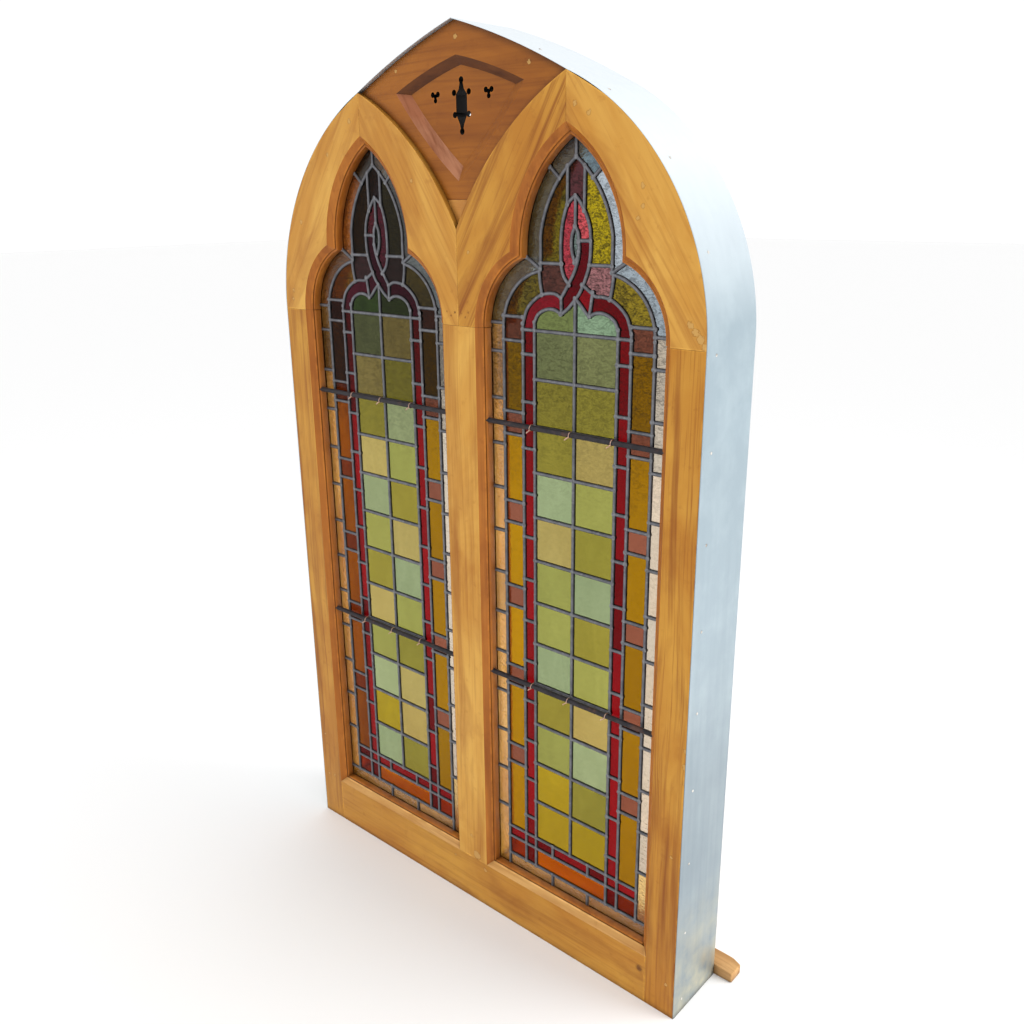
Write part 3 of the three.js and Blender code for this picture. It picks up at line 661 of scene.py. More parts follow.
def trefoil(name, near_out, far_out, near, far):
    """A plug that fills the trefoil head of the right light, grown out from the sight line."""
    parts = [(AXIS - ARCH_X, ARCH_Z, ARCH_R, ARCH_SIDES), (AXIS + ARCH_X, ARCH_Z, ARCH_R, ARCH_SIDES),
             (AXIS - LOBE_X, LOBE_Z, LOBE_R, LOBE_SIDES), (AXIS + LOBE_X, LOBE_Z, LOBE_R, LOBE_SIDES)]
    drums = []
    for i, (x, z, r, sides) in enumerate(parts):
        hair = i * 0.02 * MM  # no two ends lie in one plane
        drums.append(drum(name, x, z, r + near_out, r + far_out, near - hair, far + hair, sides))
    plug = common(drums[0], drums[1])
    fuse(plug, drums[2])
    return fuse(plug, drums[3])


def head_outline(name, low_x, high_x, near, far, inset):
    """A slab of the right half of the pointed head, between two places across it."""
    slab = block(name, (low_x, FRONT + near, SPRING + JOINT), (high_x, FRONT + far, APEX))
    common(slab, disc("shoulder", HEAD_ARC_X, SPRING, HEAD_ARC_R - inset, near - MM, far + MM, SHOULDER_SIDES))
    return common(slab, top_disc(near - MM, far + MM, inset))


def top_disc(near, far, inset):
    return disc("top", TOP_ARC_X, TOP_ARC_Z, TOP_ARC_R - inset, near, far, TOP_SIDES)


WOOD_DEPTH = WOOD_BACK - FRONT
WOOD_INSET = SHEET + GAP


def heads():
    """The outer and inner head pieces of the right light."""
    spaces = [
        trefoil("chamfer", FACE_OUT + MM, CHAMFER_OUT, -MM, CHAMFER_DEPTH),
        trefoil("groove", GROOVE_OUT, GROOVE_OUT, CHAMFER_DEPTH - 0.05 * MM, GROOVE_BACK),
        trefoil("way_through", 0, 0, GROOVE_BACK - MM, WOOD_DEPTH + MM),
    ]
    outer = head_outline("right_head_outer_wood", AXIS + JOINT, WOOD_X, 0, WOOD_DEPTH, WOOD_INSET)
    inner = head_outline("right_head_inner_wood", JOINT, AXIS - JOINT, 0, WOOD_DEPTH, WOOD_INSET)
    common(inner, disc("concave", INNER_ARC_X, INNER_ARC_Z, INNER_ARC_R, -MM, WOOD_DEPTH + MM, CONCAVE_SIDES))
    for space in spaces:
        cut(outer, space, keep=True)
        cut(inner, space)
    return outer, inner


def colour_chamfers(piece):
    """Slopes towards the glass: deeper orange on sides and heads; on the rail paler, as painted light from
    above.
    """
    piece.data.materials.append(pine_lit_sill if piece.name.startswith("bottom_rail") else pine_chamfer)
    for face in piece.data.polygons:
        sloping = -0.97 < face.normal.y < -0.15
        if sloping and FRONT + EASE < face.center.y < FRONT + CHAMFER_DEPTH:
            face.material_index = 1


SEAMS = [(0, 0), (0, AXIS), (0, -AXIS), (2, SPRING), (0, JAMB_FACE), (0, -JAMB_FACE), (2, RAIL_FACE)]
SEAM_HALF = 1.9 * MM
pine_seam = pine("pine_seams", SEAM_DIRT, 0.0, 66.1, gloss=0.6)


def darken_seams(piece):
    """Old varnish and dirt in the joints between the members of the frame."""
    piece.data.materials.append(pine_seam)
    points = piece.data.vertices
    for face in piece.data.polygons:
        for axis, place in SEAMS:
            at_foot = (axis, place) == (2, RAIL_FACE) or abs(place) == JAMB_FACE
            if at_foot and face.center.z > RAIL_FACE + MM:
                continue
            if all(abs(points[i].co[axis] - place) < SEAM_HALF for i in face.vertices):
                face.material_index = 2


right_jamb = jamb()
left_jamb = mirrored(right_jamb, "left_jamb_wood")
head_ro, head_ri = heads()
head_lo = mirrored(head_ro, "left_head_outer_wood")
head_li = mirrored(head_ri, "left_head_inner_wood")
for piece, material, stands_for in (
        (right_jamb, pine_jamb_right, "right_jamb"), (left_jamb, pine_jamb_left, "left_jamb"),
        (rail(), pine_rail, "bottom_rail"), (mullion(), pine_mullion, "mullion"),
        (head_ro, pine_head_ro, "right_head_outer"), (head_lo, pine_head_lo, "left_head_outer"),
        (head_ri, pine_head_ri, "right_head_inner"), (head_li, pine_head_li, "left_head_inner")):
    work_up(piece, EASE)
    dress(piece, material, "frame_wood", stands_for)
    colour_chamfers(piece)
    darken_seams(piece)


# ---------------------------------------------------------------- tympanum

TYMPANUM_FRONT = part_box("tympanum_panel")[0].y - FRONT
TYMPANUM_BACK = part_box("tympanum_panel")[1].y - FRONT
TIP_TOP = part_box("tympanum_tip")[1].z
FIELD_DEPTH = 21.5 * MM
KITE_HALF, KITE_WAIST, KITE_TOP, KITE_FOOT = 147 * MM, 1609 * MM, 1658 * MM, 1462 * MM
KITE_BOW_R = 800 * MM
BOARD_EASE = 0.5 * MM
UPPER_BORDER, LOWER_BORDER = 14 * MM, 19 * MM


def infill(name, low_z, high_z):
    """The board between the two inner heads, cut between two heights."""
    near, far = TYMPANUM_FRONT - MM, TYMPANUM_BACK + MM
    board = block(name, (GAP - AXIS, FRONT + TYMPANUM_FRONT, low_z),
                  (AXIS - GAP, FRONT + TYMPANUM_BACK, high_z))
    top = top_disc(near, far, WOOD_INSET)
    under = disc("under", INNER_ARC_X, INNER_ARC_Z, INNER_ARC_R + GAP, near, far, CONCAVE_SIDES)
    common(board, mirrored(top, "top_left"))
    common(board, top)
    cut(board, mirrored(under, "under_left"))
    return cut(board, under)


def kite_side(first, second, border):
    """A great drum whose edge bows through two corners of the kite and slopes in towards the field."""
    (x0, z0), (x1, z1) = first, second
    chord = math.hypot(x1 - x0, z1 - z0)
    back = math.sqrt(KITE_BOW_R ** 2 - (chord / 2) ** 2)
    inward_x, inward_z = -(z1 - z0) / chord, (x1 - x0) / chord
    x = (x0 + x1) / 2 + inward_x * back
    z = (z0 + z1) / 2 + inward_z * back
    over = border * MM / (FIELD_DEPTH - TYMPANUM_FRONT)
    return drum("side", x, z, KITE_BOW_R + over, KITE_BOW_R - border, TYMPANUM_FRONT - MM, FIELD_DEPTH,
                KITE_SIDES)


def sunk_kite():
    """The sunk field of the board with its sloping borders, as one plug."""
    foot, right, top, left = (0, KITE_FOOT), (KITE_HALF, KITE_WAIST), (0, KITE_TOP), (-KITE_HALF, KITE_WAIST)
    plug = kite_side(foot, right, LOWER_BORDER)
    for corners in ((right, top, UPPER_BORDER), (top, left, UPPER_BORDER), (left, foot, LOWER_BORDER)):
        common(plug, kite_side(*corners))
    return plug


PIERCED_BODY = [(5, 1552), (12.8, 1568), (12.8, 1599), (6, 1607), (3.6, 1617)]
PIERCED_LOBES = [(0, 1621, 5.3), (0, 1541, 5.3), (17, 1602, 5), (-17, 1602, 5), (16, 1567.5, 5),
                 (-16, 1567.5, 5)]
PIERCED_FOOT, PIERCED_TOP, PIERCED_HALF = 1530 * MM, 1640 * MM, 80 * MM
LARGE_LOBE_SIDES, SMALL_LOBE_SIDES = 28, 24
SMALL_TREFOIL = [(-6.2, 1602, 4.6), (6.2, 1602, 4.6), (0, 1592.5, 4.2), (0, 1599, 4)]
SMALL_TREFOIL_X = 61.5


def pierced_body():
    """The tapering slot of the central piercing, grown from one small block."""
    near, far = front_back(TYMPANUM_FRONT, TYMPANUM_BACK + MM)
    slot = block("slot", (-3 * MM, near, 1545 * MM), (3 * MM, far, PIERCED_BODY[0][1] * MM))
    choose(slot)
    bpy.ops.object.mode_set(mode="EDIT")
    for half, z in PIERCED_BODY:
        mesh = bmesh.from_edit_mesh(slot.data)
        top = max(v.co.z for v in mesh.verts)
        upper = [v for v in mesh.verts if v.co.z > top - 0.01 * MM]
        for face in mesh.faces:
            face.select = all(v in upper for v in face.verts)
        bmesh.update_edit_mesh(slot.data)
        if z * MM > top + 0.1 * MM:
            bpy.ops.mesh.extrude_region_move(TRANSFORM_OT_translate={"value": (0, 0, z * MM - top)})
        mesh = bmesh.from_edit_mesh(slot.data)
        wide = max(abs(v.co.x) for v in mesh.verts if v.select)
        bpy.ops.transform.resize(value=(half * MM / wide, 1, 1), center_override=(0, 0, z * MM))
    bpy.ops.object.mode_set(mode="OBJECT")
    return slot


def piercings():
    """The central piercing with its lobes and the small trefoils beside it, as one plug."""
    lobes = [(x, z, r, LARGE_LOBE_SIDES) for x, z, r in PIERCED_LOBES]
    for side in (-1, 1):
        lobes += [(x + side * SMALL_TREFOIL_X, z, r, SMALL_LOBE_SIDES) for x, z, r in SMALL_TREFOIL]
    holes = pierced_body()
    for x, z, r, sides in lobes:
        fuse(holes, disc("lobe", x * MM, z * MM, r * MM, TYMPANUM_FRONT, TYMPANUM_BACK + MM, sides))
    return holes


kite_highlight = pine("pine_kite_painted_highlight", KITE_HIGHLIGHT, -0.6, 71.0, streaks=0.9, cloud=1.0, gloss=0.5)
shaded = pine("pine_kite_upper_slopes_painted_shade", KITE_SHADE, math.pi / 2, 75.0, streaks=0.6)
black_walls = pine("pine_piercing_walls", PIERCING_BLACK, math.pi / 2, 79.0, gloss=0.6)
tympanum = infill("tympanum_board_wood", TIP_TOP + GAP, APEX)
cut(tympanum, sunk_kite())
cut(tympanum, piercings())
work_up(tympanum, BOARD_EASE)
dress(tympanum, pine_board, "panel_wood", "tympanum_panel")
# The board's other materials: painted highlight, painted shade and near-black piercing walls.
for stain in (kite_highlight, shaded, black_walls):
    tympanum.data.materials.append(stain)


def board_material_of(face):
    """Which of the board's four materials a face has, in order: board, painted highlight, painted shade,
    near-black walls.
    """
    within = abs(face.center.x) < PIERCED_HALF and PIERCED_FOOT < face.center.z < PIERCED_TOP
    if within and face.normal.y > -0.3 and face.center.y < FRONT + TYMPANUM_BACK - MM:
        return 3
    if not -0.95 < face.normal.y < -0.4 or face.center.y < FRONT + TYMPANUM_FRONT + 0.6 * MM:
        return 0
    # Upper slopes, facing down, get painted shade; the lower left slope, facing right, a painted highlight.
    if face.normal.z < -0.2:
        return 2
    return 1 if face.normal.x > 0.3 and face.center.x < 0 else 0


for face in tympanum.data.polygons:
    face.material_index = board_material_of(face)

tip = infill("tympanum_tip_wood", SPRING, TIP_TOP)
work_up(tip, BOARD_EASE)
dress(tip, pine_tip, "panel_wood", "tympanum_tip")


# ---------------------------------------------------------------- batten

BATTEN_WEAR = 26 * MM  # length of each worn end


def batten():
    """The batten behind the foot, its ends worn and its back and top a little wavy."""
    low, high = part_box("foot_batten")
    made = block("foot_batten_wood", low, high)

    def wear(spot):
        worn = max(0.0, (abs(spot.x) - high.x + BATTEN_WEAR) / BATTEN_WEAR)
        if spot.y > low.y + MM:
            spot.y -= (5 * worn ** 2 + 0.4 * (1 + math.sin(spot.x * 31))) * MM
        if spot.z > low.z + MM:
            spot.z -= (3.5 * worn ** 2 + 0.3 * (1 + math.sin(spot.x * 23 + 1))) * MM

    reshape(made, 60, wear)
    ease(made, 2.2 * MM, 3, 40)
    smooth(made, 50)
    return dress(made, pine_batten, "batten_wood", "foot_batten")


batten()


# ---------------------------------------------------------------- metal strips and nails

def sheet_metal():
    """Thin pale sheet, faintly blue, bloomed and streaked, with a yellowish stain towards the floor."""
    made, tree, shader, place = new_material("edge_sheet")
    streaks = spread(tree, noise(tree, stretched(tree, place, (1, 1, 0.06)), 60, 4), 0.4, 0.7)
    bloom = blotches(tree, place, 9.0, 0.42, 0.66)
    colour = mix_colour(tree, bloom, (0.30, 0.375, 0.42), (0.37, 0.45, 0.49))
    colour = laid_over(tree, colour, streaks, 0.25, (0.36, 0.43, 0.47))
    height = part_of(tree, place, "Z")
    # Painted shade: darker below about 1.1 m, most below 0.45 m.
    colour = laid_over(tree, colour, spread(tree, height, 0.45, 1.1, 1.0, 0.0), 0.6, (0.155, 0.185, 0.205))
    # Painted reflection: paler to near white from 1.25 m up to 1.5 m.
    colour = mix_colour(tree, spread(tree, height, 1.25, 1.5), colour, (0.74, 0.80, 0.84))
    low = spread(tree, height, 0.04, 0.26, 1.0, 0.0)
    stain = times(tree, low, blotches(tree, place, 24.0, 0.3, 0.75))
    colour = laid_over(tree, colour, stain, 0.75, (0.56, 0.50, 0.32))
    # Painted shade where the sheet is shut in: its lip beside the wood, round the nails, near the floor.
    colour = laid_over(tree, colour, crevice_shade(tree, place), 0.95, (0.012, 0.01, 0.009))
    feed(tree, shader, {"Base Color": colour, "Metallic": 0.55,
                        "Roughness": spread(tree, streaks, 0, 1, 0.36, 0.52)})
    scuffs = noise(tree, stretched(tree, place, (1, 1, 0.1)), 300, 3)
    waves = times(tree, noise(tree, place, 5.5, 2), 6.0)
    bump(tree, shader, math_node(tree, "ADD", waves, times(tree, scuffs, 0.12)), 0.35, 0.0008)
    return made


# The strip's bends: the turn round the shoulder, and where the top arc starts.
SHOULDER_TURN = math.atan2(SHOULDER_Z - SPRING, SHOULDER_X - HEAD_ARC_X)
TOP_START = math.atan2(SHOULDER_Z - TOP_ARC_Z, SHOULDER_X - TOP_ARC_X)
STRIP_FOOT = 0.2  # the flat end from which the strip is grown
STRIP_STEPS = 12


def grow(face_test, move):
    """Extrudes the faces that pass a test of the mesh being edited."""
    mesh = bmesh.from_edit_mesh(bpy.context.object.data)
    for face in mesh.faces:
        face.select = face_test(face)
    bmesh.update_edit_mesh(bpy.context.object.data)
    bpy.ops.mesh.extrude_region_move(TRANSFORM_OT_translate={"value": move})


def edge_strip():
    """The right strip: bent up from a flat end, round the shoulder and over to the fold at the apex."""
    made = block("right_band_sheet", (HALF_WIDTH - SHEET, FRONT, 0), (HALF_WIDTH, BAND_BACK, STRIP_FOOT))
    choose(made)
    bpy.ops.object.mode_set(mode="EDIT")
    bpy.ops.mesh.select_mode(type="FACE")
    rise = (SPRING - STRIP_FOOT) / STRIP_STEPS
    for _ in range(STRIP_STEPS):
        grow(lambda face: face.normal.z > 0.9 and face.calc_center_median().z > STRIP_FOOT / 2, (0, 0, rise))
    bpy.ops.mesh.spin(steps=60, angle=SHOULDER_TURN, center=(HEAD_ARC_X, 0, SPRING), axis=(0, 1, 0))
    stop = math.acos((JOINT - TOP_ARC_X) / (TOP_ARC_R - SHEET))
    bpy.ops.mesh.spin(steps=40, angle=stop - TOP_START, center=(TOP_ARC_X, 0, TOP_ARC_Z), axis=(0, 1, 0))
    bpy.ops.object.mode_set(mode="OBJECT")
    return clean(made)


def scatter(name, source, places):
    """Copies of one small piece as one mesh, each with its place, its turn and its size."""
    mesh = bpy.data.meshes.new(name)
    verts, faces = [], []
    for where, turn, size in places:
        base = len(verts)
        for vert in source.data.vertices:
            spot = Vector(vert.co)
            spot.rotate(turn)
            verts.append(Vector(where) + spot * size)
        faces += [[base + i for i in face.vertices] for face in source.data.polygons]
    mesh.from_pydata(verts, [], faces)
    mesh.update()
    made = bpy.data.objects.new(name, mesh)
    bpy.context.scene.collection.objects.link(made)
    bpy.data.objects.remove(source)
    smooth(made, 60)
    return made


def stud(radius, height):
    """A low domed head facing the front."""
    deselect()
    bpy.ops.mesh.primitive_cone_add(vertices=12, radius1=radius, radius2=radius * 0.72, depth=height,
                                    location=(0, -height / 2, 0), rotation=(math.pi / 2, 0, 0))
    made = settle(bpy.context.object)
    ease(made, height * 0.35, 2, 20)
    return made


NAIL_COUNT = 13
NAIL_PITCH = 148 * MM
NAIL_START = 28 * MM
NAIL_DEPTH = 27 * MM


def nail_places():
    """Nails along the middle of the wood's depth, up the side, round the shoulder and over the top."""
    found = []
    shoulder = HEAD_ARC_R * SHOULDER_TURN
    for i in range(NAIL_COUNT):
        along = NAIL_START + i * NAIL_PITCH
        if along < SPRING:
            x, z, angle = HALF_WIDTH, along, 0.0
        elif along < SPRING + shoulder:
            angle = (along - SPRING) / HEAD_ARC_R
            x, z = HEAD_ARC_X + HEAD_ARC_R * math.cos(angle), SPRING + HEAD_ARC_R * math.sin(angle)
        else:
            angle = TOP_START + (along - SPRING - shoulder) / TOP_ARC_R
            x, z = TOP_ARC_X + TOP_ARC_R * math.cos(angle), TOP_ARC_Z + TOP_ARC_R * math.sin(angle)
        if x > 12 * MM:
            found.append((x, z, angle))
    return found


metal = sheet_metal()
right_band = edge_strip()
left_band = mirrored(right_band, "left_band_sheet")
for piece, stands_for in ((right_band, "right_band"), (left_band, "left_band")):
    smooth(piece, 30)
    dress(piece, metal, "edge_metal", stands_for)


nail_turns = []
for x, z, angle in nail_places():
    for side in (-1, 1):
        facing = Vector((side * math.cos(angle), 0, math.sin(angle))).to_track_quat("-Y", "Z")
        nail_turns.append(((side * x, FRONT + NAIL_DEPTH, z), facing, 1.0))
nails = scatter("band_nails", stud(2.7 * MM, 0.7 * MM), nail_turns)
nail_steel = patchy_metal("nail_steel", (160.0, 0.5, 0.66), ((0.72, 0.69, 0.64), (0.24, 0.18, 0.13)), 0.8,
                          (0.4, 0.75))
dress(nails, nail_steel, "bar_iron")


# ---------------------------------------------------------------- glazing beads

BEAD_FRONT = CHAMFER_DEPTH + 1.3 * MM
BEAD_BACK = GLASS_FRONT - FRONT - 0.1 * MM  # a bed of putty closes the joint
BEAD_OUT = GROOVE_OUT - GAP
NOSE = 2.2 * MM


def beads():
    low, high = AXIS - SIGHT_HALF, AXIS + SIGHT_HALF
    near, far = front_back(BEAD_FRONT, BEAD_BACK)
    side_top = SPRING - JOINT
    side_foot = SIGHT_FOOT - BEAD_OUT
    made = {
        "bead_inner": block("bead_inner", (low - BEAD_OUT, near, side_foot), (low, far, side_top)),
        "bead_outer": block("bead_outer", (high, near, side_foot), (high + BEAD_OUT, far, side_top)),
        "bead_sill": block("bead_sill", (low + GAP, near, side_foot), (high - GAP, far, SIGHT_FOOT)),
    }
    for side, name in ((-1, "bead_head_inner"), (1, "bead_head_outer")):
        ring = trefoil(name, BEAD_OUT, BEAD_OUT, BEAD_FRONT, BEAD_BACK)
        cut(ring, trefoil("clear", 0, 0, BEAD_FRONT - MM, BEAD_BACK + MM))
        cut(ring, block("below", (0, -1, 0), (1, 1, SPRING + JOINT)))
        edges = sorted((AXIS + side * JOINT, AXIS - side * 1.0))
        cut(ring, block("other_half", (edges[0], -1, 0), (edges[1], 1, 2)))
        made[name] = ring
    return made


for name, bead in beads().items():
    work_up(bead, NOSE, 3, 50, 40)
    left_bead = mirrored(bead, "left_" + name + "_wood")
    bead.name = "right_" + name + "_wood"
    for hand, piece in (("right_", bead), ("left_", left_bead)):
        dress(piece, pine_bead, "bead_wood", hand + name)


# ---------------------------------------------------------------- leads

LEAD_HALF = 3.2
LEAD_RISE = 2.2
LEAD_LAP = 0.3  # how far a strip goes into what it lies on
SOLDER_APART = 4.5
LEAD_A, LEAD_B, LEAD_C = 155.5, 111.5, 86.0
ROWS = 13
UPPER_ROWS = 9
FOOT, FOOT_RUBY, FOOT_CROSS = 144.0, 185.5, 43.0
ROSE_HALF = 20.5
RUN_IN = 4.0
SIGHT = SIGHT_HALF / MM
SILL = SIGHT_FOOT / MM
INNER_LOBE = (57.0, 1222.0, 98.5)
INNER_ARCH = (104.0, 1350.0, 178.0)
# Where the upright leads end in the head, and the levels of the leads that cross there.
TOP_A, TOP_B, TOP_C, TOP_MIDDLE, EDGE_CROSS = 1222, 1231, 1235, 1279, 1229
TOP_ROSE_IN = 107  # the inner end of the topmost rose lead
TOP_ROW, ROW_STEP, LOWER_ROW_STEP = 1221, 83, 86.75


def row(number):
    """The height of a row of quarries, counting down; the lowest rows are a little taller."""
    upper = TOP_ROW - ROW_STEP * (min(number, UPPER_ROWS) - 1)
    return upper - LOWER_ROW_STEP * max(0, number - UPPER_ROWS)


def between(number):
    return (row(number) + row(number + 1)) / 2


def arc(x, z, r, start, stop, steps):
    turns = [math.radians(start + (stop - start) * i / steps) for i in range(steps + 1)]
    return [(x + r * math.cos(a), z + r * math.sin(a)) for a in turns]


def curved(points, steps=5):
    """A smooth line through a few points."""
    padded = [points[0]] + points + [points[-1]]
    line = []
    for i in range(len(points) - 1):
        p0, p1, p2, p3 = (Vector(p) for p in padded[i:i + 4])
        for k in range(steps):
            t = k / steps
            line.append(tuple(0.5 * (2 * p1 + (p2 - p0) * t + (2 * p0 - 5 * p1 + 4 * p2 - p3) * t ** 2
                                     + (3 * p1 - p0 - 3 * p2 + p3) * t ** 3)))
    return line + [points[-1]]


def flipped(line):
    return [(-x, z) for x, z in line]


def upright_leads():
    lines = [[(0, row(ROWS)), (0, TOP_MIDDLE)], [(-LEAD_A, SILL - RUN_IN), (-LEAD_A, TOP_A)],
             [(LEAD_A, FOOT), (LEAD_A, TOP_A)]]
    for side in (-1, 1):
        lines.append([(side * LEAD_C, FOOT), (side * LEAD_C, TOP_C)])
        lines.append([(side * LEAD_B, FOOT), (side * LEAD_B, TOP_B)])
    return lines


def level_leads():
    lines = [[(-LEAD_C, row(i)), (LEAD_C, row(i))] for i in range(1, ROWS + 1)]
    lines.append([(-LEAD_A, FOOT_RUBY), (LEAD_A, FOOT_RUBY)])
    lines += [[(side * LEAD_C, row(ROWS)), (side * LEAD_A, row(ROWS))] for side in (-1, 1)]
    lines.append([(-LEAD_A, FOOT), (SIGHT + RUN_IN, FOOT)])
    return lines


def cross_leads():
    """The short leads across the clear, amber and ruby borders."""
    lines = []
    for side in (-1, 1):
        edge = side * (SIGHT + RUN_IN)
        lines.append([(side * LEAD_B, row(1)), (side * LEAD_C, row(1))])
        lines.append([(side * LEAD_A, EDGE_CROSS), (edge, EDGE_CROSS)])
        lines.append([(side * FOOT_CROSS, FOOT_RUBY), (side * FOOT_CROSS, row(ROWS))])
        lines.append([(side * FOOT_CROSS, SILL - RUN_IN), (side * FOOT_CROSS, FOOT)])
        for i in range(1, ROWS):
            lines.append([(side * LEAD_B, between(i)), (side * LEAD_C, between(i))])
            lines.append([(side * LEAD_A, between(i)), (edge, between(i))])
            if i % 2:
                for step in (-ROSE_HALF, ROSE_HALF):
                    inner = TOP_ROSE_IN if row(i) + step > TOP_B else LEAD_B
                    lines.append([(side * inner, row(i) + step), (side * LEAD_A, row(i) + step)])
    return lines


def head_leads():
    """The leads of the trefoil head: paired ones on both sides, then the crossing ribbon and its loop."""
    lobe_x, lobe_z, lobe_r = INNER_LOBE
    arch_x, arch_z, arch_r = INNER_ARCH
    pairs = [
        arc(lobe_x, lobe_z, lobe_r, 0, 80, 20) + [(72, 1322)],
        [(72, 1322), (72, 1350)] + arc(-arch_x, arch_z, arch_r, 8, 54.3, 14),
        curved([(86, 1234), (79, 1247), (67, 1255), (54, 1258.5), (41, 1257.5), (29, 1252)], 3),
        [(53, 1481), (33, 1463)],
        [(103, 1341), (71, 1321)],
        [(72, 1332), (28, 1332)],
        curved([(75, 1319), (73, 1300), (69, 1281)], 3),
    ]
    lines = pairs + [flipped(line) for line in pairs]
    return lines + [
        [(0, 1494), (0, 1530)],
        [(17, 1481), (16.5, 1414)],
        [(-17, 1481), (-17, 1423)],
        curved([(-LEAD_B, EDGE_CROSS), (-104, 1252), (-94, 1265), (-81, 1275), (-69, 1281), (-54, 1284),
                (-41, 1283.5), (-29, 1278)], 3),
        curved([(LEAD_B, EDGE_CROSS), (104, 1252), (94, 1265), (81, 1275), (69, 1281), (54, 1284), (41, 1284),
                (31, 1290), (14, 1301)], 3),
        curved([(-1, 1437), (-11, 1430), (-18, 1422), (-25, 1402), (-29, 1380), (-30, 1350), (-28, 1325),
                (-22, 1310), (-12, 1299)], 3),
        curved([(-1, 1437), (6, 1430), (12, 1422), (22, 1405), (28.5, 1385), (30, 1355), (27, 1330),
                (22, 1315), (16, 1301), (8.5, 1287), (0, 1277), (-14, 1262), (-28, 1252)], 3),
        curved([(6, 1367), (7, 1355), (5, 1340), (-1.5, 1322), (-8, 1310), (-16, 1297), (-24, 1285),
                (-29, 1278)], 3),
        curved([(-1, 1391), (-7, 1378), (-8.5, 1362), (-6, 1347), (-1, 1335)], 4),
        curved([(-1, 1391), (5, 1380), (6.5, 1367)], 4),
        [(-1, 1437), (-1, 1391)],
        curved([(-1, 1335), (3, 1341), (6.5, 1352)], 3),
        [(5, 1369), (30, 1369)],
        curved([(0, 1279), (12, 1268), (22, 1257), (29, 1252)], 3),
        [(-29, 1278), (-28, 1252)],
        [(35, 1290), (29, 1252)],
    ]


def curve_along(name, lines, dimensions="2D", closed=False):
    """A curve with one straight-edged run through each line of places."""
    deselect()
    bpy.ops.curve.primitive_bezier_circle_add(radius=MM)
    made = bpy.context.object
    made.name = name
    made.data.splines.clear()
    made.data.dimensions = dimensions
    for line in lines:
        run = made.data.splines.new("POLY")
        run.points.add(len(line) - 1)
        for point, place in zip(run.points, line):
            point.co = (*place, 1)
        run.use_cyclic_u = closed
    return made


def as_mesh(curve):
    choose(curve)
    bpy.ops.object.convert(target="MESH")
    return settle(curve)


def strips(name, lines, half, near, rise, hand, bottom=0.0):
    """Strips of one section run along lines of a light, in millimetres, facing the front, as one mesh."""
    if bottom:
        outline = [(-half, -bottom), (half, -bottom), (half, rise), (-half, rise)]
    else:
        outline = [(-half, -LEAD_LAP), (half, -LEAD_LAP), (half, 0.18 * rise), (0.78 * half, 0.66 * rise),
                   (0.42 * half, 0.93 * rise), (0, rise), (-0.42 * half, 0.93 * rise),
                   (-0.78 * half, 0.66 * rise), (-half, 0.18 * rise)]
    section = curve_along("section", [[(x * MM, y * MM, 0) for x, y in outline]], closed=True)
    made = curve_along(name, [[(hand * (AXIS + x * MM), z * MM, 0) for x, z in line] for line in lines])
    made.data.fill_mode = "NONE"
    made.data.bevel_mode = "OBJECT"
    made.data.bevel_object = section
    made.data.use_fill_caps = True
    made.location = (0, near, 0)
    made.rotation_euler = (math.pi / 2, 0, 0)
    as_mesh(made)
    bpy.data.objects.remove(section)
    return clean(made)


def crossing(a, b, c, d):
    """Where two straight stretches meet, or None."""
    (x1, y1), (x2, y2), (x3, y3), (x4, y4) = a, b, c, d
    below = (x1 - x2) * (y3 - y4) - (y1 - y2) * (x3 - x4)
    if abs(below) < 1e-9:
        return None
    t = ((x1 - x3) * (y3 - y4) - (y1 - y3) * (x3 - x4)) / below
    u = ((x1 - x3) * (y1 - y2) - (y1 - y3) * (x1 - x2)) / below
    if -0.02 <= t <= 1.02 and -0.02 <= u <= 1.02:
        return x1 + t * (x2 - x1), y1 + t * (y2 - y1)
    return None


def solder_places(lines):
    """Every joint of the leads: where lines cross and where they end."""
    found = []

    def note(place):
        inside = abs(place[0]) < SIGHT and place[1] > SILL
        if inside and all(math.hypot(place[0] - x, place[1] - z) > SOLDER_APART for x, z in found):
            found.append(place)

    straight = [line for line in lines if len(line) == 2]
    for i, first in enumerate(straight):
        for second in straight[i + 1:]:
            place = crossing(*first, *second)
            if place:
                note(place)
    for line in lines:
        note(line[0])
        note(line[-1])
    return found


def blob():
    """A flattened bead of solder."""
    deselect()
    bpy.ops.mesh.primitive_ico_sphere_add(subdivisions=2, radius=1)
    made = bpy.context.object
    made.scale = (4.1 * MM, 1.1 * MM, 4.1 * MM)
    return settle(made)


def lead_metal():
    """Dull grey lead, paler and brighter where worn, with painted shade and highlight on its section."""
    made, tree, shader, place = new_material("old_lead")
    mottle = blotches(tree, place, 70.0, 0.35, 0.7)
    colour = mix_colour(tree, mottle, (0.085, 0.088, 0.100), (0.165, 0.168, 0.185))
    colour = laid_over(tree, colour, blotches(tree, place, 240.0, 0.56, 0.7), 0.4, (0.42, 0.41, 0.40))
    normal = node(tree, "ShaderNodeNewGeometry").outputs["Normal"]
    facing = math_node(tree, "ABSOLUTE", part_of(tree, normal, "Y"))
    # Painted shade: the flanks, turned away from the front and back, go nearly black.
    colour = mix_colour(tree, spread(tree, facing, 0.45, 0.97, 0.85, 0.0), colour, (0.022, 0.021, 0.022))
    # Painted highlight where the crown faces straight to the front and back.
    colour = mix_colour(tree, spread(tree, facing, 0.985, 1.0, 0.0, 0.28), colour, (0.30, 0.31, 0.34))
    feed(tree, shader, {"Base Color": colour, "Metallic": 0.6,
                        "Roughness": spread(tree, mottle, 0, 1, 0.5, 0.38)})
    bump(tree, shader, noise(tree, place, 420, 4, 0.6), 0.3, 0.0004)
    return made


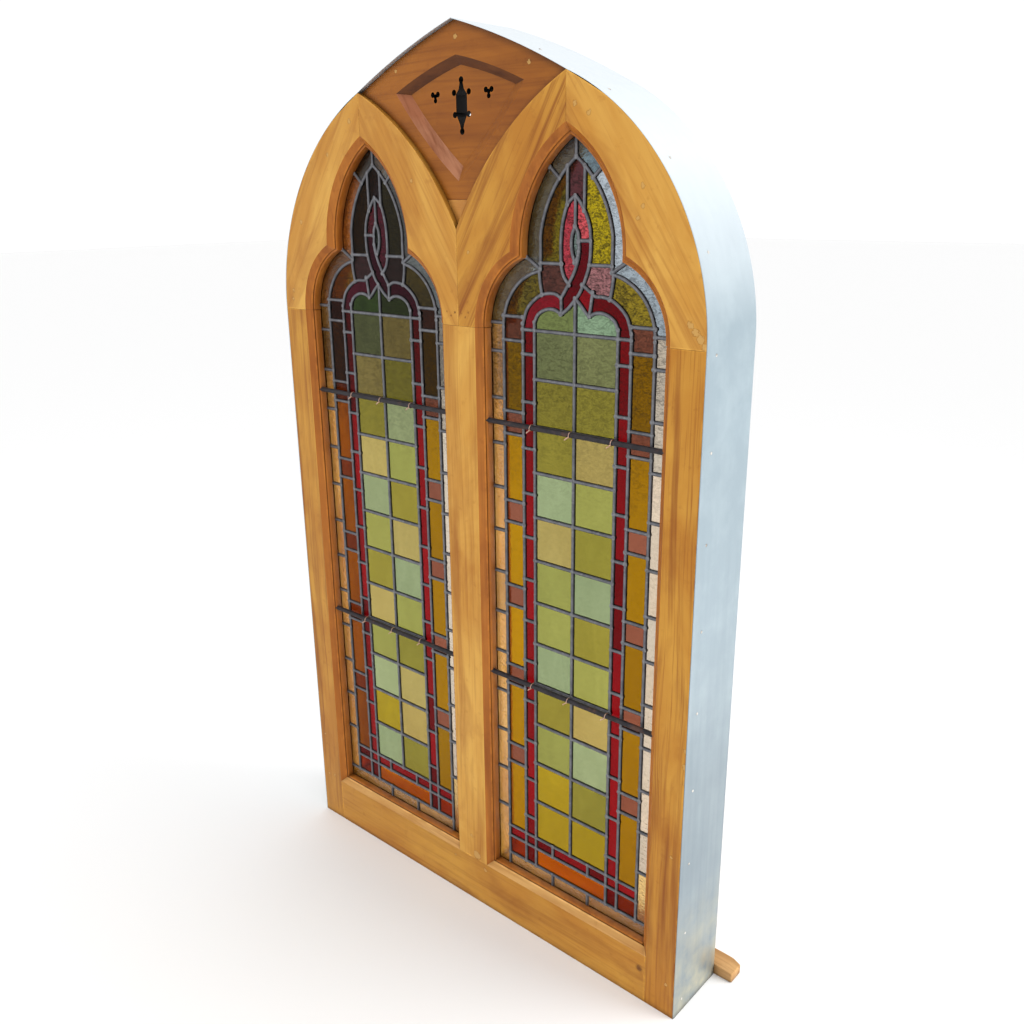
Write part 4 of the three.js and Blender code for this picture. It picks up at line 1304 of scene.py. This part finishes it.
LEAD_LINES = upright_leads() + level_leads() + cross_leads() + head_leads()
old_lead = lead_metal()
solder = patchy_metal("solder", (220.0, 0.4, 0.65), ((0.215, 0.22, 0.235), (0.11, 0.112, 0.122)), 0.7,
                      (0.32, 0.55), 600)
REAR_RISE = 1.4
chance = random.Random(7)
for hand, light in ((1, "right"), (-1, "left")):
    front_at = LEAD_FRONT + LEAD_RISE * MM
    front_flange = strips(light + "_lead_fronts", LEAD_LINES, LEAD_HALF, front_at, LEAD_RISE, hand)
    rear_flange = strips(light + "_lead_backs", LEAD_LINES, LEAD_HALF, GLASS_BACK, -REAR_RISE, hand)
    smooth(front_flange, 50)
    smooth(rear_flange, 50)
    dress(front_flange, old_lead, "lead", light + "_lead_cames")
    dress(rear_flange, old_lead, "lead")
    joints = []
    for x, z in solder_places(LEAD_LINES):
        turn = Euler((0, chance.uniform(0, math.pi), 0)).to_quaternion()
        size = chance.uniform(0.85, 1.15)
        spot = hand * (AXIS + x * MM)
        joints.append(((spot, LEAD_FRONT + 0.55 * MM, z * MM), turn, size))
        joints.append(((spot, GLASS_BACK + (REAR_RISE - 0.4) * MM, z * MM), turn, size))
    dress(scatter(light + "_solder_joints", blob(), joints), solder, "lead")


# ---------------------------------------------------------------- glass

PANEL_OUT = 8.0
CUT_HALF = 0.7
LEAST_PANE = 25.0
HEAD_FOOT, HEAD_HALF = 1232, 150  # the head's panes lie above this height, or near it within this half width
# Painted shade makes the panes darker towards the head: where that begins, how soon it is full, how dark it
# gets in the left light, on the left and on the right of the right light, and how much more in the amber
# border.
SHADE_FOOT, SHADE_RISE = 985, 150
LEFT_LIGHT_SHADE, RIGHT_LIGHT_SHADES, AMBER_SHADE = 0.72, (0.42, 0.26), 0.16


def by_eye(red, green, blue):
    """A colour as it looks on a screen, 0 to 255, turned into light."""
    return tuple(c / 3294.6 if c <= 10 else ((c / 255 + 0.055) / 1.055) ** 2.4 for c in (red, green, blue))


def past_sight(x, z):
    """How far a place of a light lies outside its sight line, in millimetres."""
    if z * MM < SPRING:
        return max(abs(x) - SIGHT, SILL - z)
    lobe = math.hypot(abs(x) - LOBE_X / MM, z - LOBE_Z / MM) - LOBE_R / MM
    arch = math.hypot(abs(x) + ARCH_X / MM, z - ARCH_Z / MM) - ARCH_R / MM
    return min(lobe, arch)


def lengthened(line):
    """A lead's line run on a little at both ends, and right off the glass where it ends at its edge."""
    longer = list(line)
    for end, before in ((0, 1), (-1, -2)):
        x, z = line[end]
        back_x, back_z = line[before]
        length = math.hypot(x - back_x, z - back_z)
        more = (PANEL_OUT + 8 if past_sight(x, z) > -3 else 0.9) / length
        longer[end] = (x + (x - back_x) * more, z + (z - back_z) * more)
    return longer


def glass_sheet():
    """The whole sheet of the right light, from which its panes are cut."""
    near, far = GLASS_FRONT - FRONT, GLASS_BACK - FRONT
    sheet = trefoil("sheet", PANEL_OUT * MM, PANEL_OUT * MM, near, far)
    hair = 0.11 * MM
    reach = SIGHT_HALF + PANEL_OUT * MM - hair
    body = block("body", (AXIS - reach, GLASS_FRONT - hair, SIGHT_FOOT - PANEL_OUT * MM),
                 (AXIS + reach, GLASS_BACK + hair, SPRING + 3 * MM))
    return fuse(sheet, body)


def panes_of(sheet):
    """The sheet cut along every lead, as separate panes with their middles, the smallest dropped."""
    longer = [lengthened(line) for line in LEAD_LINES]
    walls = strips("walls", longer, CUT_HALF, GLASS_BACK + 2 * MM, 7.0, 1, 0.5)
    combine(sheet, walls, "DIFFERENCE", own_crossings=True)
    bpy.ops.object.mode_set(mode="EDIT")
    bpy.ops.mesh.select_all(action="SELECT")
    bpy.ops.mesh.separate(type="LOOSE")
    bpy.ops.object.mode_set(mode="OBJECT")
    found = []
    for pane in list(bpy.context.selected_objects):
        pane.data.calc_loop_triangles()
        fronts = [part for part in pane.data.loop_triangles if part.normal.y < -0.9]
        area = sum(part.area for part in fronts)
        if area < LEAST_PANE * MM * MM:
            bpy.data.objects.remove(pane)
            continue
        corners = [(part.area / area / 3, pane.data.vertices[i].co) for part in fronts for i in part.vertices]
        x = sum(share * spot.x for share, spot in corners)
        z = sum(share * spot.z for share, spot in corners)
        found.append((pane, (x - AXIS) / MM, z / MM))
    return found


TINTS = {"A": (150, 163, 118), "G": (136, 142, 92), "L": (152, 152, 76), "O": (146, 136, 52),
         "S": (176, 156, 88), "Y": (168, 144, 30)}
# The quarries' tints down each column from the top row, for the column on the left and the one on the right.
QUARRY_COLUMNS = {1: ("GOOASLLAOLYY", "GOSLOAOLSAOY"), -1: ("GSOSALOSLAYA", "SOALOSALOSSO")}
RUBY, DEEP_RUBY = (138, 14, 20), (96, 7, 18)
ROSE = (140, 82, 62)
AMBER, LIT_AMBER, FOOT_AMBER = (154, 110, 5), (174, 127, 6), (238, 152, 8)
RUSSET = (186, 78, 28)
CLEAR, YELLOWED = (214, 197, 174), (226, 190, 118)
CLEAREST = (250, 250, 246)
# Clear glass given a dark blue-grey, as painted shade.
SHADED_CLEAR = (104, 122, 134)

# The head's panes: kind of glass, place about the light's axis, tint in the right light and in the left.
# The left light's far darker tints and the clear panes' dark greys are painted shade.
HEAD_PANES = [
    ("head", 0, 1462, (82, 46, 50), (30, 20, 22)),
    ("head", -42, 1410, (104, 92, 20), (34, 30, 14)),
    ("head", 48, 1400, (172, 150, 22), (40, 34, 14)),
    ("head", -20, 1372, (172, 58, 70), (74, 20, 34)),
    ("head", 18, 1395, (202, 80, 84), (80, 24, 36)),
    ("ruby", 12, 1325, DEEP_RUBY, (52, 10, 24)),
    ("ruby", -14, 1272, DEEP_RUBY, (52, 10, 24)),
    ("head", -1, 1362, (112, 128, 122), (44, 50, 44)),
    ("head", -50, 1306, (88, 54, 48), (38, 26, 24)),
    ("head", 50, 1310, (166, 112, 112), (56, 34, 34)),
    ("head", -112, 1286, (96, 84, 30), (62, 52, 24)),
    ("head", 116, 1286, (138, 118, 32), (112, 78, 22)),
    ("ruby", -80, 1264, (124, 22, 34), (70, 18, 32)),
    ("ruby", 80, 1266, (140, 14, 24), (70, 18, 32)),
    ("ruby", 24, 1284, (140, 14, 24), (60, 14, 28)),
    ("quarries", -40, 1240, (116, 126, 72), (40, 48, 24)),
    ("quarries", 40, 1240, (130, 158, 128), (44, 58, 26)),
    ("clear", -166, 1285, (122, 132, 130), (84, 88, 86)),
    ("clear", 166, 1285, (158, 168, 174), (120, 100, 80)),
    ("clear", -92, 1400, SHADED_CLEAR, (60, 58, 54)),
    ("clear", 92, 1400, (176, 186, 194), (170, 130, 96)),
    ("clear", -22, 1500, SHADED_CLEAR, (88, 84, 78)),
    ("clear", 24, 1498, (92, 112, 122), (66, 66, 62)),
    ("clear", -172, 1226, SHADED_CLEAR, (140, 120, 96)),
    ("clear", 172, 1226, CLEAR, (120, 120, 112)),
]


def row_of(z):
    """Which row of quarries a height lies in, counting down from the top."""
    return next((i for i in range(1, ROWS) if z > row(i + 1)), ROWS)


def quarry_tint(x, number, hand):
    """The tint of the quarry in a row, in the column that x lies in."""
    return TINTS[QUARRY_COLUMNS[hand][int(x * hand > 0)][min(number, ROWS - 1) - 1]]


def kind_and_tint(x, z, hand):
    """The kind of glass and the tint of the pane whose middle is at a place of the right or left light."""
    across = abs(x)
    if z > row(1) + 6 and across < HEAD_HALF or z > HEAD_FOOT:
        pane = min(HEAD_PANES, key=lambda pane: math.hypot(pane[1] - x, pane[2] - z))
        return pane[0], pane[3] if hand > 0 else pane[4]
    if across > LEAD_A or z < FOOT:
        if x * hand < 0 or z < FOOT:
            return "clear", CLEAREST
        return "clear", CLEAR if z > 2 * FOOT else YELLOWED
    if across > LEAD_C and z < row(ROWS):
        if across < LEAD_B or z > FOOT_RUBY:
            return "ruby", RUBY
        return "amber", RUSSET
    if across > LEAD_B or z < FOOT_RUBY:
        squares = [row(i) for i in range(1, ROWS, 2)]
        if across > LEAD_B and any(abs(z - middle) < ROSE_HALF for middle in squares):
            return "amber", ROSE
        if z < FOOT_RUBY:
            return "amber", FOOT_AMBER
        return "amber", AMBER if x * hand > 0 else LIT_AMBER
    if across > LEAD_C or z < row(ROWS):
        return "ruby", RUBY
    return "quarries", quarry_tint(x, row_of(z), hand)


def shade_of(kind, tint, x, z, hand, luck):
    """A pane's own tint, no two alike, with painted shade towards the head, most of all in the left light."""
    shade = luck.choice((0.5, 0.8, 0.92, 1.0, 1.12)) if kind == "ruby" else luck.uniform(0.9, 1.1)
    warm = luck.uniform(-0.04, 0.04)
    if kind != "head" and z < HEAD_FOOT:
        darkest = RIGHT_LIGHT_SHADES[x > 0] if hand > 0 else LEFT_LIGHT_SHADE
        if kind == "amber":
            darkest += AMBER_SHADE
        # Painted shade, growing towards the head.
        shade *= 1 - darkest * min(1, max(0, (z - SHADE_FOOT) / SHADE_RISE))
    red, green, blue = by_eye(*tint)
    return (min(1, red * shade * (1 + warm)), min(1, green * shade), min(1, blue * shade * (1 - warm)), 1)


def ripples_group():
    """Rolled glass: a hammered or reamy surface, with painted dark in its hollows and painted light in drifts.
    """
    tree, start, end = group(
        "glass_ripples",
        [PLACE_IN, ("Tint", "NodeSocketColor", (1, 1, 1, 1)), ("Size", "NodeSocketFloat", 90.0),
         ("Depth", "NodeSocketFloat", 0.5)],
        [("Color", "NodeSocketColor"), ("Height", "NodeSocketFloat")])
    vector, tint = start.outputs["Vector"], start.outputs["Tint"]
    lumps = noise(tree, stretched(tree, vector, (0.75, 1, 1.35)), start.outputs["Size"], 1.5, 0.5, 1.6)
    drift = noise(tree, stretched(tree, vector, (1, 1, 0.35)), 26, 3, 0.5, 0.8)
    # The painted dark is weaker below about a metre.
    shown = spread(tree, part_of(tree, vector, "Z"), 0.92, 1.12, 0.2, 1.0)
    ripple_shade = times(tree, times(tree, spread(tree, lumps, 0.45, 0.62), shown), start.outputs["Depth"])
    darkened = mix_colour(tree, ripple_shade, tint, (0.008, 0.007, 0.006))
    ripple_highlight = spread(tree, drift, 0.45, 0.75, 0.0, 0.16)
    feed(tree, end, {"Color": mix_colour(tree, ripple_highlight, darkened, tint, "SCREEN"), "Height": lumps})
    return tree


GLASS_RIPPLES = ripples_group()


def old_glass(name, size, depth, bump_strength, rough, bend):
    """Coloured glass whose tint is painted on each pane."""
    made, tree, shader, place = new_material(name)
    tint = node(tree, "ShaderNodeVertexColor", layer_name="tint")
    ripples = placed_group(
        tree, GLASS_RIPPLES, Vector=place, Tint=tint.outputs["Color"], Size=size, Depth=depth)
    feed(tree, shader, {"Base Color": ripples.outputs["Color"], "Transmission Weight": 1.0, "IOR": bend,
                        "Specular IOR Level": 0.12, "Roughness": rough})
    bump(tree, shader, ripples.outputs["Height"], bump_strength, 0.0012)
    return made


GLASS = {
    "clear": (old_glass("reamy_clear_glass", 130.0, 0.6, 0.8, 0.05, 1.4), "clear_glass", "_clear_border"),
    "amber": (old_glass("amber_glass", 140.0, 0.6, 0.5, 0.06, 1.14), "amber_glass", "_amber_border"),
    "ruby": (old_glass("ruby_glass", 190.0, 0.5, 0.4, 0.06, 1.14), "ruby_glass", "_ruby_border"),
    "quarries": (old_glass("cathedral_glass", 125.0, 0.42, 0.5, 0.08, 1.14), "quarry_glass", "_quarries"),
    "head": (old_glass("hammered_glass", 165.0, 0.85, 0.9, 0.05, 1.14), "head_glass", "_head_glass"),
}


def paint(pane, tint):
    layer = pane.data.color_attributes.new("tint", "FLOAT_COLOR", "CORNER")
    for corner in layer.data:
        corner.color = tint


def join(pieces, name):
    deselect()
    for piece in pieces:
        piece.select_set(True)
    bpy.context.view_layer.objects.active = pieces[0]
    bpy.ops.object.join()
    made = bpy.context.object
    made.name = name
    return settle(made)


cut_panes = panes_of(glass_sheet())
luck = random.Random(12)
for hand, light in ((-1, "left"), (1, "right")):
    kinds = {}
    for pane, x, z in cut_panes:
        own = mirrored(pane, "pane") if hand < 0 else pane
        kind, tint = kind_and_tint(x, z, hand)
        paint(own, shade_of(kind, tint, x, z, hand, luck))
        kinds.setdefault(kind, []).append(own)
    for kind, own_panes in kinds.items():
        made, slot, stands_for = GLASS[kind]
        whole = join(own_panes, light + stands_for + "_panes")
        dress(whole, made, slot, light + stands_for)


# ---------------------------------------------------------------- saddle bars and their copper ties

BAR_R = 4.9 * MM
BAR_DEPTH = 17 * MM
BAR_HOUSING = 8 * MM
BAR_HEIGHTS = {"upper": 1055 * MM, "lower": 555 * MM}
WIRE_R = 0.65 * MM
TIE_STEPS = 22


def forged_iron():
    """Blackened iron, scaled and a little rusty."""
    made, tree, shader, place = new_material("forged_iron")
    scale = blotches(tree, place, 130.0, 0.4, 0.65)
    colour = mix_colour(tree, scale, (0.012, 0.011, 0.014), (0.036, 0.031, 0.036))
    colour = laid_over(tree, colour, blotches(tree, place, 46.0, 0.58, 0.7), 0.5, (0.14, 0.06, 0.035))
    feed(tree, shader, {"Base Color": colour, "Metallic": 0.1, "Specular IOR Level": 0.3,
                        "Roughness": spread(tree, scale, 0, 1, 0.42, 0.62)})
    bump(tree, shader, noise(tree, place, 330, 4, 0.6), 0.4, 0.0006)
    return made


def saddle_bar(height):
    """A round bar across the right light, hammered a little uneven between its housed ends."""
    deselect()
    middle_y = FRONT + BAR_DEPTH
    bpy.ops.mesh.primitive_cylinder_add(vertices=20, radius=BAR_R, depth=2 * (SIGHT_HALF + BAR_HOUSING),
                                        location=(AXIS, middle_y, height), rotation=(0, math.pi / 2, 0))
    bar = settle(bpy.context.object)

    def hammer(spot):
        along = (spot.x - AXIS) / SIGHT_HALF
        if abs(along) < 0.98:
            worn = 0.97 - 0.03 * math.sin(23 * along + 9 * height) * math.sin(41 * along)
            spot.y = middle_y + (spot.y - middle_y) * worn
            spot.z = height + (spot.z - height) * worn

    reshape(bar, 70, hammer)
    clean(bar)
    smooth(bar, 50)
    return bar


def wire(name, line, closed=False):
    """Round copper wire along a line of places."""
    made = curve_along(name, [line], "3D", closed)
    made.data.bevel_depth = WIRE_R
    made.data.bevel_resolution = 1
    made.data.use_fill_caps = True
    return as_mesh(made)


def copper_tie():
    """A wire round the bar, drawn back to the lead, its two ends twisted together low on the left in front."""
    ring_r = BAR_R + WIRE_R * 0.8
    back = LEAD_FRONT - FRONT - BAR_DEPTH
    loop = []
    for i in range(TIE_STEPS):
        turn = 2 * math.pi * i / TIE_STEPS
        loop.append((0.7 * MM * math.cos(turn), min(ring_r * math.sin(turn), back), ring_r * math.cos(turn)))
    pieces = [wire("loop", loop, True)]
    start = Vector((-0.6 * MM, -0.74 * ring_r, -0.66 * ring_r))
    along = Vector((-7.5, -0.6, -6.0)) * MM
    side, up = Vector((0.62, 0.0, -0.78)), Vector((0, 1, 0))
    for phase in (0, math.pi):
        tail = []
        for t in range(21):
            twist = 0.75 * t + phase
            off = (side * math.cos(twist) + up * math.sin(twist)) * WIRE_R
            tail.append(tuple(start + along * t / 20 + off))
        pieces.append(wire("tail", tail))
    return join(pieces, "tie")


iron = forged_iron()
tie_places = []
for label, height in BAR_HEIGHTS.items():
    bar = saddle_bar(height)
    left_bar = mirrored(bar, "left_saddle_bar_" + label + "_iron")
    bar.name = "right_saddle_bar_" + label + "_iron"
    dress(bar, iron, "bar_iron", "right_saddle_bar_" + label)
    dress(left_bar, iron, "bar_iron", "left_saddle_bar_" + label)
    for hand in (-1, 1):
        for dx in (-LEAD_C, 0, LEAD_C):
            tilt = Euler((chance.uniform(-0.25, 0.15), 0, 0)).to_quaternion()
            tie_places.append(((hand * AXIS + dx * MM, FRONT + BAR_DEPTH, height), tilt, 1.0))
copper = patchy_metal("old_copper", (260.0, 0.4, 0.65), ((0.80, 0.55, 0.44), (0.50, 0.30, 0.22)), 0.8,
                      (0.32, 0.55))
dress(scatter("copper_ties", copper_tie(), tie_places), copper, "bar_iron")


# ---------------------------------------------------------------- stage, camera and lights

def floor():
    deselect()
    bpy.ops.mesh.primitive_plane_add(size=60, location=(0, 0, 0))
    made = bpy.context.object
    made.name = "studio_floor"
    material, tree, shader, _ = new_material("floor_paint")
    feed(tree, shader, {"Base Color": (0.9, 0.9, 0.9), "Roughness": 0.85})
    made.data.materials.append(material)


def soft_light(name, place, aim, size, watts):
    data = bpy.data.lights.new(name, "AREA")
    data.shape = "RECTANGLE"
    data.size, data.size_y = size
    data.energy = watts
    lamp = bpy.data.objects.new(name, data)
    bpy.context.scene.collection.objects.link(lamp)
    lamp.location = place
    lamp.visible_glossy = False
    lamp.rotation_euler = (Vector(aim) - Vector(place)).to_track_quat("-Z", "Y").to_euler()


def studio():
    world = bpy.data.worlds.new("studio_air")
    bpy.context.scene.world = world
    world.use_nodes = True
    air = world.node_tree.nodes["Background"]
    air.inputs["Color"].default_value = (1.0, 1.0, 1.0, 1)
    air.inputs["Strength"].default_value = 1.08
    soft_light("key_from_upper_right", (2.6, -2.8, 3.4), (0, 0, 0.9), (2.4, 2.4), 24)
    soft_light("fill_from_left", (-3.2, -2.6, 1.8), (0, 0, 0.8), (2.6, 2.6), 8)
    soft_light("side_light", (2.5, 1.0, 1.0), (0.1, 0, 0.75), (1.6, 2.0), 66)


def camera():
    data = bpy.data.cameras.new("camera")
    data.sensor_width = 36
    data.lens = 34.07
    seen = bpy.data.objects.new("camera", data)
    bpy.context.scene.collection.objects.link(seen)
    seen.location = (1.2125, FRONT - 1.2369, 1.4364)
    seen.rotation_euler = Euler([math.radians(a) for a in (71.964, 0.607, 41.233)])
    bpy.context.scene.camera = seen


camera()
floor()
studio()
bpy.context.scene.view_settings.view_transform = "Standard"
